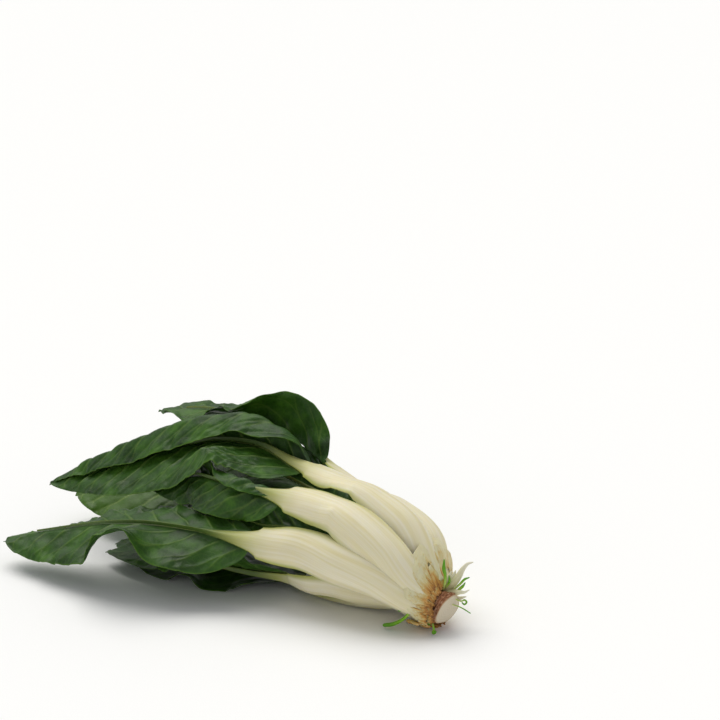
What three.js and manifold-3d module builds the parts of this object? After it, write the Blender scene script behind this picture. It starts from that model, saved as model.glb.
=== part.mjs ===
// A whole head of white-stalked chard, pulled and trimmed at the root, lying on its side.
// Millimetres, +Z up. The root points along +X and the leaf tips along -X. Broad fleshy stalks stand in a
// ring round the crown, each running on as the midrib of one blade. Every stalk and every blade is a
// closed solid of its own, and no two of them touch.
import * as THREE from 'three';
import { mergeVertices } from 'three/addons/utils/BufferGeometryUtils.js';
import Module from 'manifold-3d';

const wasm = await Module();
wasm.setup();

// ---------- driving dimensions ----------

const gap = 0.35; // air between neighbouring pieces
const bladeThickness = 1.6;
const bladeRows = 14; // stations along a blade
const bladeCellsPerHalf = 5;
const stalkRows = 13;
const stalkCells = 4; // strips across a stalk
const ribEnd = 0.86; // how far along the blade the midrib stands proud of it
const underside = 1.0; // lowest a blade's middle surface may lie

// The root crown from its cut face inwards: centre and radius of each ring.
const rootRings = [
  [246, -4, 25.5, 16.5], [243, -3.6, 26, 17.2], [239, -2.4, 27, 16.6], [234, -0.6, 28.4, 14.2],
  [227, 0.4, 30, 10.5], [214, 2, 37, 8.5], [202, 5, 43, 6], [192, 7, 48, 3],
];
const cutFacing = [-0.93, 0.16, 0.3]; // inwards, square to the cut face

// Small growths on the crown: the middle line with its radii.
const shoots = [
  {
    name: 'hook_shoot', color: 0x7d9a2c,
    line: [[207, -24, 34, 1.1], [200, -28.5, 37, 1.5], [194, -31, 42, 1.6], [192, -30, 47, 1.6], [194, -28, 50, 1.2]],
  },
  {
    name: 'leafy_shoot', color: 0x5e8110,
    line: [[212, -19, 22, 1.4], [205, -23, 18, 2], [197, -27, 11.5, 3.4], [189, -29, 5.6, 3.6], [183, -29, 3.4, 1.6]],
  },
  { name: 'root_shoot', color: 0x7d9a2c, line: [[231, -11, 15, 1.6], [235, -14.5, 9, 1.3], [238, -15, 4, 2.6], [239, -15, 2.6, 1.4]] },
  { name: 'top_shoot', color: 0x6d9030, line: [[231, 1, 47, 2], [235, 1.5, 52, 2.2], [237, 3, 62, 1.8], [236.5, 5, 72, 1]] },
  { name: 'pale_stub', color: 0xc9c49a, line: [[228, 9, 36, 4], [234, 11, 44, 6], [243, 13.5, 54, 4.6], [251, 16, 64, 2.6], [259, 18, 73, 0.9]] },
];

// Dry remains of leaf bases, standing round the neck: the angles between which they lie.
const scales = [
  { name: 'dry_scale_front', from: 158, to: 214, reach: 12 },
  { name: 'dry_scale_under', from: 226, to: 286, reach: 9 },
];
const scaleThickness = 1.5;

// The middle line of the bundle of stalks, and how far from it the outer stalks run.
const throat = [
  { x: 223, y: 0.5, z: 31, radius: 16 },
  { x: 212, y: 2, z: 37.5, radius: 27 },
  { x: 187, y: 8, z: 50, radius: 42 },
  { x: 148, y: 13, z: 55.5, radius: 50 },
  { x: 100, y: 16, z: 60, radius: 54 },
];

// Sizes from a stalk's foot to where its blade starts.
const outerStalk = { halfWidth: [14, 21, 24, 21, 16], thickness: [6, 9, 10, 8, 6], channel: [7, 9, 8, 5, 2.5] };
const innerStalk = { halfWidth: [5, 9, 12, 11, 8], thickness: [4, 6, 7, 6, 4], channel: [2, 3, 4, 3, 1.5] };
const heartStalk = { halfWidth: [3, 5, 7, 6, 5], thickness: [3, 4, 5, 4, 3], channel: [0.5, 1, 2, 1.5, 1] };

// Underneath, the bundle is pressed flatter where it lies.
const lowSpread = [0.85, 0.58, 0.54, 0.74, 0.94];

// One entry per leaf, lowest first. angle: where the stalk stands round the crown at its foot and in the
// throat, from the back (0) over the top (90) to the front (180). spread: how far out it stands, as a
// share of the outer ring. run: the way on from the throat to the leaf's tip. bladeFrom: the share of the
// whole length at which the blade starts. halfWidth: of the left and the right half, seen on the inner
// side with the tip ahead. outline: how pointed the blade is. face: the way its inner side looks, from
// its start to its tip. lift and curl: degrees by which each half leaves the midrib and then bends on to
// its margin, from the blade's start to its tip. fold: degrees by which a half turns over at foldAt, which
// is a share of its width.
const leaves = [
  {
    name: 'bottom_leaf', angle: [270, 264], spread: lowSpread, stalk: outerStalk, bladeFrom: 0.44,
    run: [[50, 20, 6], [0, 22, 6], [-60, 12, 7], [-120, 0, 7], [-180, -8, 6]],
    halfWidth: [72, 60], outline: [0.74, 0.6],
    face: [[0, 0, 1], [0, 0, 1], [0, 0, 1]],
    left: { lift: [4, -6, -8, -6, 0], curl: [10, 12, -12, 24, -10, 18, 0] },
    right: { lift: [4, -6, -6, -4, 0], curl: [10, 20, -10, 20, -6, 16, 0] },
  },
  {
    name: 'lower_front_leaf', angle: [236, 220], spread: lowSpread, stalk: outerStalk, bladeFrom: 0.42,
    run: [[60, -20, 26], [20, -28, 26], [-20, -36, 27], [-60, -40, 25], [-105, -45, 21], [-158, -52, 14]],
    halfWidth: [33, 56], outline: [0.76, 0.6],
    face: [[0, 0.6, 0.8], [0, 0.2, 0.97], [0, 0, 1]],
    left: { lift: [2, 6, 10, -14, -22, 0], curl: [4, 10, 14, -16, -14, 10, 0] },
    right: { lift: [20, 10, 4, 10, 0], curl: [10, 16, -14, 20, -10, 12, 0] },
  },
  {
    name: 'back_leaf', angle: [312, 316], spread: [0.9, 0.86, 0.9, 1, 1], stalk: outerStalk, bladeFrom: 0.4,
    run: [[50, 72, 30], [0, 88, 40], [-60, 86, 48], [-130, 66, 50], [-200, 46, 47], [-274, 32, 38]],
    halfWidth: [62, 76], outline: [0.8, 0.5],
    face: [[0, -0.6, 0.75], [0, -0.3, 0.95], [0, -0.1, 1]],
    left: { lift: [14, 10, 0, -20, -24], curl: [20, 24, 0, -8, -12] },
    right: { lift: [-6, -14, -22, -14, -8], curl: [-20, -40, 0, -46, -6, -36, 0] },
  },
  {
    name: 'inner_back_leaf', angle: [352, 356], spread: [0.7, 0.75, 0.84, 0.88, 0.9], stalk: innerStalk,
    bladeFrom: 0.38,
    run: [[50, 76, 66], [0, 90, 80], [-50, 92, 90], [-110, 84, 90], [-170, 66, 82]],
    halfWidth: [48, 46], outline: [0.72, 0.6],
    face: [[0, -0.9, 0.4], [0, -0.6, 0.8], [0, -0.2, 1]],
    left: { lift: [20, 10, 4], curl: [20, 16, -20, 16, 10] },
    right: { lift: [-10, -14, -10], curl: [10, -34, 6, -34, 0] },
  },
  {
    name: 'heart_leaf', angle: [90, 90], spread: [0.03, 0.03], stalk: heartStalk, bladeFrom: 0.42,
    run: [[60, 15, 62], [20, 16, 66], [-25, 14, 68], [-70, 12, 66]],
    halfWidth: [24, 24], outline: [0.72, 0.6],
    face: [[0, 0.2, 1], [0, 0.1, 1], [0, 0, 1]],
    left: { lift: [30, 24, 14], curl: [40, 10, 44, 10] },
    right: { lift: [30, 24, 14], curl: [40, 44, 8, 10] },
  },
  {
    name: 'inner_front_leaf', angle: [164, 152], spread: [0.7, 0.72], stalk: innerStalk, bladeFrom: 0.2,
    run: [[62, -22, 78], [24, -20, 69], [-20, -12, 61], [-80, -4, 57], [-130, 4, 54]],
    halfWidth: [30, 30], outline: [0.6, 0.5],
    face: [[0, 0.8, -0.5], [0, 0.7, -0.6], [0, 0.3, -0.9], [0, 0.1, -1]],
    left: { lift: [-10, -4, 0], curl: [-10, 10, -16, 10, 0] },
    right: { lift: [14, 8, 10, 4, 4], curl: [20, 6, 20, -10, 20, 0] },
  },
  {
    name: 'front_leaf', angle: [184, 170], spread: [0.95, 0.95, 0.97, 1.06, 1.14], stalk: outerStalk, bladeFrom: 0.39,
    run: [
      [66, -55, 71], [37, -60, 72], [8, -64, 73], [-26, -69, 73], [-73, -77, 71], [-125, -87, 64],
      [-190, -98, 47], [-252, -107, 28],
    ],
    halfWidth: [40, 60], outline: [0.8, 0.5],
    face: [[0, 0.85, -0.5], [0, 0.25, -0.97], [0, 0.05, -1]],
    left: { lift: [30, 10, 2, 6, 4, 0], curl: [30, 20, 10, 6, 30, 50] },
    right: {
      lift: [-20, -17, -20, -8, -22, -20, 4, 13, 20, 22, 10],
      curl: [8, 22, -20, 30, 12, 4],
    },
  },
  {
    name: 'inner_top_leaf', angle: [60, 62], spread: [0.6, 0.64], stalk: innerStalk, bladeFrom: 0.38,
    run: [[50, 36, 98], [0, 44, 102], [-60, 44, 98], [-120, 40, 88], [-180, 36, 74]],
    halfWidth: [42, 42], outline: [0.74, 0.66],
    face: [[0, -0.3, -0.9], [0, -0.1, -1], [0, 0, -1]],
    left: { lift: [14, 20, 10], curl: [20, 36, 0, 30, 0] },
    right: { lift: [14, 20, 10], curl: [20, 0, 34, 6, 0] },
  },
  {
    name: 'upper_front_leaf', angle: [150, 130], spread: [1, 1, 1.04, 1.12, 1.12], stalk: outerStalk, bladeFrom: 0.46,
    run: [
      [66, -28, 112], [32, -34, 116], [2, -34, 116], [-30, -28, 112], [-66, -18, 106], [-105, -8, 98],
      [-150, 2, 88],
    ],
    halfWidth: [26, 38], outline: [0.62, 0.5],
    face: [[0, 0.6, -0.75], [0, 0.3, -0.95], [0, 0.1, -1]],
    left: {
      lift: [-30, -40, -20, 0, 10], curl: [-20, -20, 0, 24, 0],
      fold: [-130, -130, -60, 0, 0], foldAt: [0.36, 0.36, 0.5, 0.5],
    },
    right: { lift: [0, 8, 24, 20, 10], curl: [10, 50, 10, 54, 10, 30] },
  },
  {
    name: 'upper_back_leaf', angle: [38, 38], spread: [1, 1], stalk: outerStalk, bladeFrom: 0.44,
    run: [[70, 64, 106], [36, 75, 118], [-14, 88, 134], [-76, 98, 142], [-145, 102, 138], [-202, 98, 128]],
    halfWidth: [60, 50], outline: [0.68, 0.56],
    face: [[0, -0.6, -0.7], [0, -0.3, -0.95], [0, -0.2, -0.97]],
    left: { lift: [0, -4, -10, -24, -10], curl: [20, 30, -30, 20, -10] },
    right: { lift: [-76, -64, -10, 10, 6], curl: [-10, -20, 0, 30, 0] },
  },
  {
    name: 'top_leaf', angle: [88, 88], spread: [1, 1], stalk: outerStalk, bladeFrom: 0.37, cells: 7,
    run: [
      [66, 27, 121], [30, 31, 127], [-11, 34, 134], [-60, 29, 131], [-112, 19, 119], [-165, 8, 102],
      [-220, 0, 82], [-276, -10, 58],
    ],
    halfWidth: [72, 74], outline: [0.64, 0.8],
    face: [[0, 0.1, -1], [0, 0.12, -1], [0, 0.2, -1]],
    left: {
      lift: [-52, -60, -58, -55, -48, -40], curl: [0, -10, -15, -15, -15, -10],
      fold: [-90, -140, -150, -150, -150, -150], foldAt: [0.58, 0.5, 0.42, 0.4, 0.38, 0.36],
    },
    right: { lift: [-4, 0, 12, 14, 10], curl: [10, 16, 24, 20, 30] },
  },
];

// ---------- small helpers ----------

const vec = (x, y, z) => new THREE.Vector3(x, y, z);

// A value that runs smoothly through evenly spaced stations as t goes from 0 to 1.
function along(stations, t) {
  const place = THREE.MathUtils.clamp(t, 0, 1) * (stations.length - 1);
  const i = Math.min(Math.floor(place), stations.length - 2);
  return THREE.MathUtils.lerp(stations[i], stations[i + 1], THREE.MathUtils.smoothstep(place - i, 0, 1));
}

// ---------- the line of a leaf ----------

// The first stretch of a stalk, out of the crown and along the bundle.
function foot(leaf) {
  return throat.map((ring, i) => {
    const a = THREE.MathUtils.degToRad(along(leaf.angle, i / (throat.length - 1)));
    const r = ring.radius * along(leaf.spread, i / (throat.length - 1));
    return vec(ring.x, ring.y + r * Math.cos(a), ring.z + r * Math.sin(a));
  });
}

function spineOf(leaf) {
  const points = [...foot(leaf), ...leaf.run.map((p) => vec(...p))];
  return new THREE.CatmullRomCurve3(points, false, 'centripetal');
}

// The inner side's direction before it is squared to the spine: inwards on the stalk, then as stated.
function faceAt(leaf, u) {
  const a = THREE.MathUtils.degToRad(along(leaf.angle, u / (leaf.bladeFrom * 0.7)));
  const inwards = [0, -Math.cos(a), -Math.sin(a)];
  const t = (u - leaf.bladeFrom) / (1 - leaf.bladeFrom);
  const turn = THREE.MathUtils.smoothstep(u, leaf.bladeFrom * 0.45, leaf.bladeFrom);
  const side = [0, 1, 2].map((k) => {
    const stated = along(leaf.face.map((f) => f[k]), t);
    return THREE.MathUtils.lerp(inwards[k], stated, turn);
  });
  return vec(...side).normalize();
}

// Point, direction, inner normal and right-hand side of the leaf at a share u of its length.
function frameAt(leaf, spine, u) {
  const point = spine.getPointAt(u);
  const ahead = spine.getTangentAt(u);
  const face = faceAt(leaf, u);
  face.addScaledVector(ahead, -face.dot(ahead)).normalize();
  const right = vec(0, 0, 0).crossVectors(ahead, face);
  return { point, ahead, face, right };
}

// ---------- stalk ----------

function stalkShape(leaf, u) {
  const { halfWidth, thickness, channel } = leaf.stalk;
  const t = Math.max(0, (u - leaf.bladeFrom) / (1 - leaf.bladeFrom));
  const s = Math.min(1, u / leaf.bladeFrom);
  const early = Math.max(0, (u - leaf.bladeFrom + 0.02) / (1 - leaf.bladeFrom));
  const taper = (1 - 0.9 * Math.sqrt(Math.min(1, early / 0.24))) * (1 - 0.5 * Math.min(1, t / ribEnd));
  return {
    half: along(halfWidth, s) * taper,
    thick: along(thickness, s) * THREE.MathUtils.lerp(1, 0.3, Math.min(1, t / ribEnd)),
    channel: along(channel, s) * taper * (1 - Math.min(1, t * 3)),
  };
}

// A stalk and its midrib as outer and inner grids of points. grow makes it stand out on every side.
function stalkGrid(leaf, grow = 0) {
  const spine = spineOf(leaf);
  const end = leaf.bladeFrom + (1 - leaf.bladeFrom) * ribEnd;
  const outer = [];
  const inner = [];
  for (let i = 0; i < stalkRows; i++) {
    const u = (end * i) / (stalkRows - 1);
    const { point, face, right } = frameAt(leaf, spine, u);
    const { half, thick, channel } = stalkShape(leaf, u);
    const top = -bladeThickness / 2 - 2 * gap; // the blade lies on the inner side
    const rowOut = [];
    const rowIn = [];
    for (let k = 0; k <= stalkCells; k++) {
      const q = (2 * k) / stalkCells - 1;
      const across = q * (half + grow);
      const dish = channel * q * q;
      const depth = thick * (1 - 0.72 * q * q);
      const at = (height) => point.clone().addScaledVector(right, across).addScaledVector(face, height);
      rowIn.push(at(top - channel + dish + grow));
      rowOut.push(at(top - channel + dish - depth - grow));
    }
    outer.push(rowOut);
    inner.push(rowIn);
  }
  return { outer, inner };
}

// ---------- blade ----------

// Half width of a blade at a share t of its length, as a share of the greatest.
function outlineAt([early, blunt], t) {
  return Math.sin(Math.PI * Math.pow(THREE.MathUtils.clamp(t, 0.004, 0.99), early)) ** blunt;
}

// One half of a blade's cross-section, from the midrib to the margin, as a list of [across, height].
function halfSection(leaf, side, t, rib, width) {
  const { lift, curl, fold = [0, 0], foldAt = [0.5, 0.5] } = leaf[side];
  const crease = along(foldAt, t);
  const cells = leaf.cells ?? bladeCellsPerHalf;
  const flat = Math.min(0.6, rib / width);
  const section = [[0, 0]];
  let across = 0;
  let height = 0;
  for (let k = 0; k < cells; k++) {
    const q = (k + 0.5) / cells;
    const bend = THREE.MathUtils.smoothstep(q, flat * 0.8, flat * 1.5);
    const turned = along(fold, t) * THREE.MathUtils.smoothstep(q, crease - 0.14, crease + 0.14);
    const angle = THREE.MathUtils.degToRad(bend * (along(lift, t) + along(curl, t) * q) + turned);
    across += (Math.cos(angle) * width) / cells;
    height += (Math.sin(angle) * width) / cells;
    section.push([across, height]);
  }
  return section;
}

// The middle surface of a blade as rows of points from its left margin over the midrib to its right one.
function bladeGrid(leaf, grow = 0) {
  const spine = spineOf(leaf);
  const rows = [];
  for (let i = 0; i < bladeRows; i++) {
    const t = i / (bladeRows - 1);
    const u = leaf.bladeFrom + (1 - leaf.bladeFrom) * t;
    const { point, face, right } = frameAt(leaf, spine, Math.min(u, 1));
    const rib = stalkShape(leaf, u).half;
    const width = leaf.halfWidth.map((w) => Math.max(w * outlineAt(leaf.outline, t), rib * 0.95, 4) + grow);
    const place = (sign) => ([across, height]) =>
      point.clone().addScaledVector(right, sign * across).addScaledVector(face, height);
    const leftHalf = halfSection(leaf, 'left', t, rib, width[0]).map(place(-1)).reverse();
    const rightHalf = halfSection(leaf, 'right', t, rib, width[1]).map(place(1)).slice(1);
    rows.push([...leftHalf, ...rightHalf]);
  }
  return rows;
}

// ---------- laying the leaves on each other ----------

// Square cells over the table, each with one height.
class HeightMap {
  constructor(start) {
    this.cell = 8;
    this.count = 100;
    this.values = new Float64Array(this.count * this.count).fill(start);
  }

  index(x, y) {
    const at = (value) => THREE.MathUtils.clamp(Math.round(value / this.cell + this.count / 2), 1, this.count - 2);
    return at(y) * this.count + at(x);
  }

  merge(points, pick) {
    for (const p of points) {
      const i = this.index(p.x, p.y);
      this.values[i] = pick(this.values[i], p.z);
    }
  }

  read(x, y) {
    const fx = THREE.MathUtils.clamp(x / this.cell + this.count / 2, 1, this.count - 2.001);
    const fy = THREE.MathUtils.clamp(y / this.cell + this.count / 2, 1, this.count - 2.001);
    const [ix, iy] = [Math.floor(fx), Math.floor(fy)];
    const at = (dx, dy) => this.values[(iy + dy) * this.count + ix + dx];
    const low = THREE.MathUtils.lerp(at(0, 0), at(1, 0), fx - ix);
    const high = THREE.MathUtils.lerp(at(0, 1), at(1, 1), fx - ix);
    return THREE.MathUtils.lerp(low, high, fy - iy);
  }
}

// Points spread closely over a grid's cells.
function spreadOver(rows, steps = 4) {
  const found = [];
  for (let i = 0; i < rows.length - 1; i++) {
    for (let j = 0; j < rows[i].length - 1; j++) {
      for (let a = 0; a < steps; a++) {
        for (let b = 0; b < steps; b++) {
          const near = rows[i][j].clone().lerp(rows[i][j + 1], b / steps);
          const far = rows[i + 1][j].clone().lerp(rows[i + 1][j + 1], b / steps);
          found.push(near.lerp(far, a / steps));
        }
      }
    }
  }
  return found;
}

const layerClearance = 4; // between the middle surfaces of a blade and the pile under it
const throatEnd = 130; // nearer the crown than this, the stalks stand side by side and nothing is lifted

// The least smooth rise that brings a leaf clear of the pile.
function riseOver(pile, points) {
  const below = new HeightMap(Infinity);
  below.merge(points, Math.min);
  const need = new HeightMap(0);
  need.values.forEach((_, i) => {
    const x = ((i % need.count) - need.count / 2) * need.cell;
    const deficit = pile.values[i] + layerClearance - below.values[i];
    if (Number.isFinite(deficit) && deficit > 0 && x < throatEnd) need.values[i] = deficit;
  });
  const rise = new HeightMap(0);
  rise.values.set(need.values);
  for (let pass = 0; pass < 60; pass++) {
    const next = rise.values.slice();
    for (let i = rise.count; i < next.length - rise.count; i++) {
      const around = rise.values[i - 1] + rise.values[i + 1] + rise.values[i - rise.count] + rise.values[i + rise.count];
      next[i] = Math.max(need.values[i], around / 4);
    }
    rise.values.set(next);
  }
  return rise;
}

// A height above the table, eased so that nothing goes under it.
function aboveTable(z, least) {
  const ease = 2.5;
  const spare = (z - least) / ease;
  return spare > 20 ? z : least + ease * Math.log1p(Math.exp(spare));
}

// Finds each leaf's rise in turn, lowest leaf first.
function pileUp() {
  const pile = new HeightMap(-Infinity);
  for (const leaf of leaves) {
    const { outer, inner } = stalkGrid(leaf);
    const stalkPoints = [...spreadOver(outer), ...spreadOver(inner)];
    const points = [...spreadOver(bladeGrid(leaf)), ...stalkPoints];
    leaf.rise = riseOver(pile, points);
    for (const p of points) p.z = aboveTable(p.z + leaf.rise.read(p.x, p.y), underside);
    pile.merge(points, Math.max);
  }
}

function settle(leaf, rows, least) {
  return rows.map((row) => row.map((p) => vec(p.x, p.y, aboveTable(p.z + leaf.rise.read(p.x, p.y), least))));
}

// ---------- closed solids from grids ----------

// A closed body between two grids of points that stand over each other.
function slab(upper, lower) {
  const rows = upper.length;
  const columns = upper[0].length;
  const positions = [...upper.flat(), ...lower.flat()].flatMap((p) => [p.x, p.y, p.z]);
  const top = (i, j) => i * columns + j;
  const bottom = (i, j) => rows * columns + i * columns + j;
  const faces = [];
  const quad = (a, b, c, d) => faces.push(a, b, c, a, c, d);
  for (let i = 0; i < rows - 1; i++) {
    for (let j = 0; j < columns - 1; j++) {
      quad(top(i, j), top(i, j + 1), top(i + 1, j + 1), top(i + 1, j));
      quad(bottom(i, j), bottom(i + 1, j), bottom(i + 1, j + 1), bottom(i, j + 1));
    }
    quad(top(i, 0), top(i + 1, 0), bottom(i + 1, 0), bottom(i, 0));
    quad(top(i + 1, columns - 1), top(i, columns - 1), bottom(i, columns - 1), bottom(i + 1, columns - 1));
  }
  for (let j = 0; j < columns - 1; j++) {
    quad(top(0, j + 1), top(0, j), bottom(0, j), bottom(0, j + 1));
    quad(top(rows - 1, j), top(rows - 1, j + 1), bottom(rows - 1, j + 1), bottom(rows - 1, j));
  }
  const geometry = new THREE.BufferGeometry();
  geometry.setAttribute('position', new THREE.Float32BufferAttribute(positions, 3));
  geometry.setIndex(faces);
  return geometry;
}

function normalAt(rows, i, j) {
  const last = rows.length - 1;
  const end = rows[0].length - 1;
  const forward = rows[Math.min(i + 1, last)][j].clone().sub(rows[Math.max(i - 1, 0)][j]);
  const sideways = rows[i][Math.min(j + 1, end)].clone().sub(rows[i][Math.max(j - 1, 0)]);
  return sideways.cross(forward).normalize();
}

// A sheet of even thickness on both sides of a grid.
function sheet(rows, thickness) {
  const shifted = (distance) =>
    rows.map((row, i) => row.map((p, j) => p.clone().addScaledVector(normalAt(rows, i, j), distance)));
  return slab(shifted(thickness / 2), shifted(-thickness / 2));
}

// ---------- joining and cutting ----------

function solidFrom(geometry) {
  const bare = geometry.clone();
  bare.deleteAttribute('normal');
  bare.deleteAttribute('uv');
  const merged = mergeVertices(bare, 1e-4);
  const mesh = new wasm.Mesh({
    numProp: 3,
    vertProperties: Float32Array.from(merged.attributes.position.array),
    triVerts: Uint32Array.from(merged.index.array),
  });
  return new wasm.Manifold(mesh);
}

function geometryFrom(solid) {
  const mesh = solid.getMesh();
  const geometry = new THREE.BufferGeometry();
  geometry.setAttribute('position', new THREE.BufferAttribute(Float32Array.from(mesh.vertProperties), 3));
  geometry.setIndex(Array.from(mesh.triVerts));
  geometry.computeVertexNormals();
  return geometry;
}

const largest = (solid) => solid.decompose().reduce((a, b) => (b.volume() > a.volume() ? b : a));

// ---------- round pieces ----------

// A closed round body along a line of [x, y, z, radius], its first ring square to `facing` where given.
function roundBody(line, { grow = 0, sides = 6, facing, lump = 0 } = {}) {
  const curve = new THREE.CatmullRomCurve3(line.map((p) => vec(p[0], p[1], p[2])), false, 'centripetal');
  const rings = line.map((p, i) => {
    const ahead = i === 0 && facing ? vec(...facing).normalize() : curve.getTangent(i / (line.length - 1));
    const across = vec(0, 1, 0).addScaledVector(ahead, -ahead.y).normalize();
    const up = vec(0, 0, 0).crossVectors(ahead, across);
    const end = i === 0 ? -grow : i === line.length - 1 ? grow : 0;
    return Array.from({ length: sides }, (_, k) => {
      const a = (2 * Math.PI * k) / sides;
      const r = p[3] * (1 + lump * Math.sin(3 * a + i) + lump * 0.6 * Math.cos(5 * a - 2 * i)) + grow;
      return vec(p[0], p[1], p[2])
        .addScaledVector(across, r * Math.cos(a))
        .addScaledVector(up, r * Math.sin(a))
        .addScaledVector(ahead, end);
    });
  });
  const middleOf = (ring) => ring.reduce((sum, p) => sum.add(p), vec(0, 0, 0)).divideScalar(sides);
  const points = [...rings.flat(), middleOf(rings[0]), middleOf(rings.at(-1))];
  const faces = [];
  for (let i = 0; i < rings.length - 1; i++) {
    for (let k = 0; k < sides; k++) {
      const [a, b] = [i * sides + k, i * sides + ((k + 1) % sides)];
      faces.push(a, b, b + sides, a, b + sides, a + sides);
    }
  }
  const [first, last] = [rings.length * sides, rings.length * sides + 1];
  const lastRing = (rings.length - 1) * sides;
  for (let k = 0; k < sides; k++) {
    const next = (k + 1) % sides;
    faces.push(first, next, k);
    faces.push(last, lastRing + k, lastRing + next);
  }
  const geometry = new THREE.BufferGeometry();
  geometry.setAttribute('position', new THREE.Float32BufferAttribute(points.flatMap((p) => [p.x, p.y, p.z]), 3));
  geometry.setIndex(faces);
  return solidFrom(geometry);
}

// A curved flake round the neck, ragged at its free edge.
function scaleSolid(scale, grow = 0) {
  const rows = [0, 0.5, 1].map((s) =>
    [0, 0.25, 0.5, 0.75, 1].map((q, j) => {
      const a = THREE.MathUtils.degToRad(THREE.MathUtils.lerp(scale.from, scale.to, q));
      const ragged = j % 2 ? 1 : 0.68;
      const x = 224 + s * scale.reach * ragged;
      const r = THREE.MathUtils.lerp(23.5, 20.5, s);
      return vec(x, r * Math.cos(a), 29 - 0.2 * (x - 224) + r * Math.sin(a));
    }),
  );
  return solidFrom(sheet(rows, scaleThickness + 2 * grow));
}

// ---------- stalks and blades as solids ----------

function stalkSolid(leaf, grow = 0) {
  const { outer, inner } = stalkGrid(leaf, grow);
  return solidFrom(slab(settle(leaf, inner, underside), settle(leaf, outer, -3)));
}

function bladeSolid(leaf, grow = 0) {
  return solidFrom(sheet(settle(leaf, bladeGrid(leaf, grow), underside), bladeThickness + 2 * grow));
}

// ---------- the bunch ----------

const bunch = new THREE.Group();
const placed = []; // every finished piece, and the same a little larger

// A block under the table, so that whatever would sink into it is cut flat.
const table = solidFrom(new THREE.BoxGeometry(900, 700, 100).translate(0, 0, -50));

function boxOf(solid) {
  const { min, max } = solid.boundingBox();
  return new THREE.Box3(vec(...min), vec(...max));
}

function place(name, make, color, roughness) {
  let solid = make(0).subtract(table);
  for (const other of placed) {
    if (boxOf(solid).intersectsBox(other.box)) solid = solid.subtract(other.solid);
  }
  solid = largest(solid);
  for (const kept of [make(gap), solid]) placed.push({ solid: kept, box: boxOf(kept) });
  const material = new THREE.MeshStandardMaterial({ color, roughness, metalness: 0 });
  const mesh = new THREE.Mesh(geometryFrom(solid), material);
  mesh.name = name;
  bunch.add(mesh);
}

pileUp();

place('root_crown', (grow) => roundBody(rootRings, { grow, sides: 16, facing: cutFacing, lump: 0.03 }), 0x9c7a4a, 0.8);

// The leaves that lie outermost keep their whole shape, and those behind give way to them.
const order = [
  'top_leaf', 'front_leaf', 'upper_front_leaf', 'upper_back_leaf', 'bottom_leaf', 'lower_front_leaf',
  'back_leaf', 'inner_back_leaf', 'inner_front_leaf', 'inner_top_leaf', 'heart_leaf',
];
const inOrder = order.map((name) => leaves.find((leaf) => leaf.name === name));
for (const leaf of inOrder) place(`${leaf.name}_stalk`, (grow) => stalkSolid(leaf, grow), 0xcac29b, 0.45);
for (const leaf of inOrder) place(`${leaf.name}_blade`, (grow) => bladeSolid(leaf, grow), 0x2c4a20, 0.5);
for (const scale of scales) place(scale.name, (grow) => scaleSolid(scale, grow), 0xbaa260, 0.8);
for (const shoot of shoots) place(shoot.name, (grow) => roundBody(shoot.line, { grow }), shoot.color, 0.5);

// The origin lies on the table, under the middle of the bunch.
const box = new THREE.Box3().setFromObject(bunch, true);
bunch.position.set(-(box.min.x + box.max.x) / 2, -(box.min.y + box.max.y) / 2, -box.min.z);

export default bunch;
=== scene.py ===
import math

import bpy
import numpy as np
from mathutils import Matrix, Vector


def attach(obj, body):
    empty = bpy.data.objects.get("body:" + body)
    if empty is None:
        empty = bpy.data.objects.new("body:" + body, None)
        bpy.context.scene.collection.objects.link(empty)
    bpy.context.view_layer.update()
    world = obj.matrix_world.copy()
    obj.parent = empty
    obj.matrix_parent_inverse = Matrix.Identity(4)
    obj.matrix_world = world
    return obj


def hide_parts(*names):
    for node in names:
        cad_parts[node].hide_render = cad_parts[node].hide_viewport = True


# A head of white-stalked chard lying on its side. The leaf maths below works in millimetres, with the
# root along +X and the leaf tips along -X, and everything is turned to metres when a mesh is made.

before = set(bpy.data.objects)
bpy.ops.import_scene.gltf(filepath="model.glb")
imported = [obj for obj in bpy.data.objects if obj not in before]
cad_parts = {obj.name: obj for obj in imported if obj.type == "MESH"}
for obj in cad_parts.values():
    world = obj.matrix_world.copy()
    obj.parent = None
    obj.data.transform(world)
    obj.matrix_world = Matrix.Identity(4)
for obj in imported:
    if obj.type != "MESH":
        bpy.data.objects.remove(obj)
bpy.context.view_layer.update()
print("frame loaded with", len(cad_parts), "nodes")

scene = bpy.context.scene
scene.view_settings.view_transform = "Standard"
scene.view_settings.look = "None"

# ---- small helpers


def linear(hexColour):  # sRGB hex to the linear colour that the nodes take
    parts = [int(hexColour[i:i + 2], 16) / 255 for i in (1, 3, 5)]
    return tuple(p / 12.92 if p <= 0.04045 else ((p + 0.055) / 1.055) ** 2.4 for p in parts) + (1.0,)


def smooth(x, low, high):  # eases from 0 to 1 between low and high
    s = np.clip((x - low) / (high - low), 0, 1)
    return s * s * (3 - 2 * s)


def along(stations, t):  # runs smoothly through evenly spaced stations as t goes from 0 to 1
    stations = np.asarray(stations, float)
    place = np.clip(t, 0, 1) * (len(stations) - 1)
    i = np.minimum(np.floor(place).astype(int), len(stations) - 2)
    s = place - i
    s = s * s * (3 - 2 * s)
    if stations.ndim > 1:
        s = s[..., None]
    return stations[i] + (stations[i + 1] - stations[i]) * s


def readBetween(table, i, j, fi, fj):  # a value between four neighbours of a table
    low = table[i, j] * (1 - fj) + table[i, j + 1] * fj
    high = table[i + 1, j] * (1 - fj) + table[i + 1, j + 1] * fj
    return low * (1 - fi) + high * fi


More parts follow.
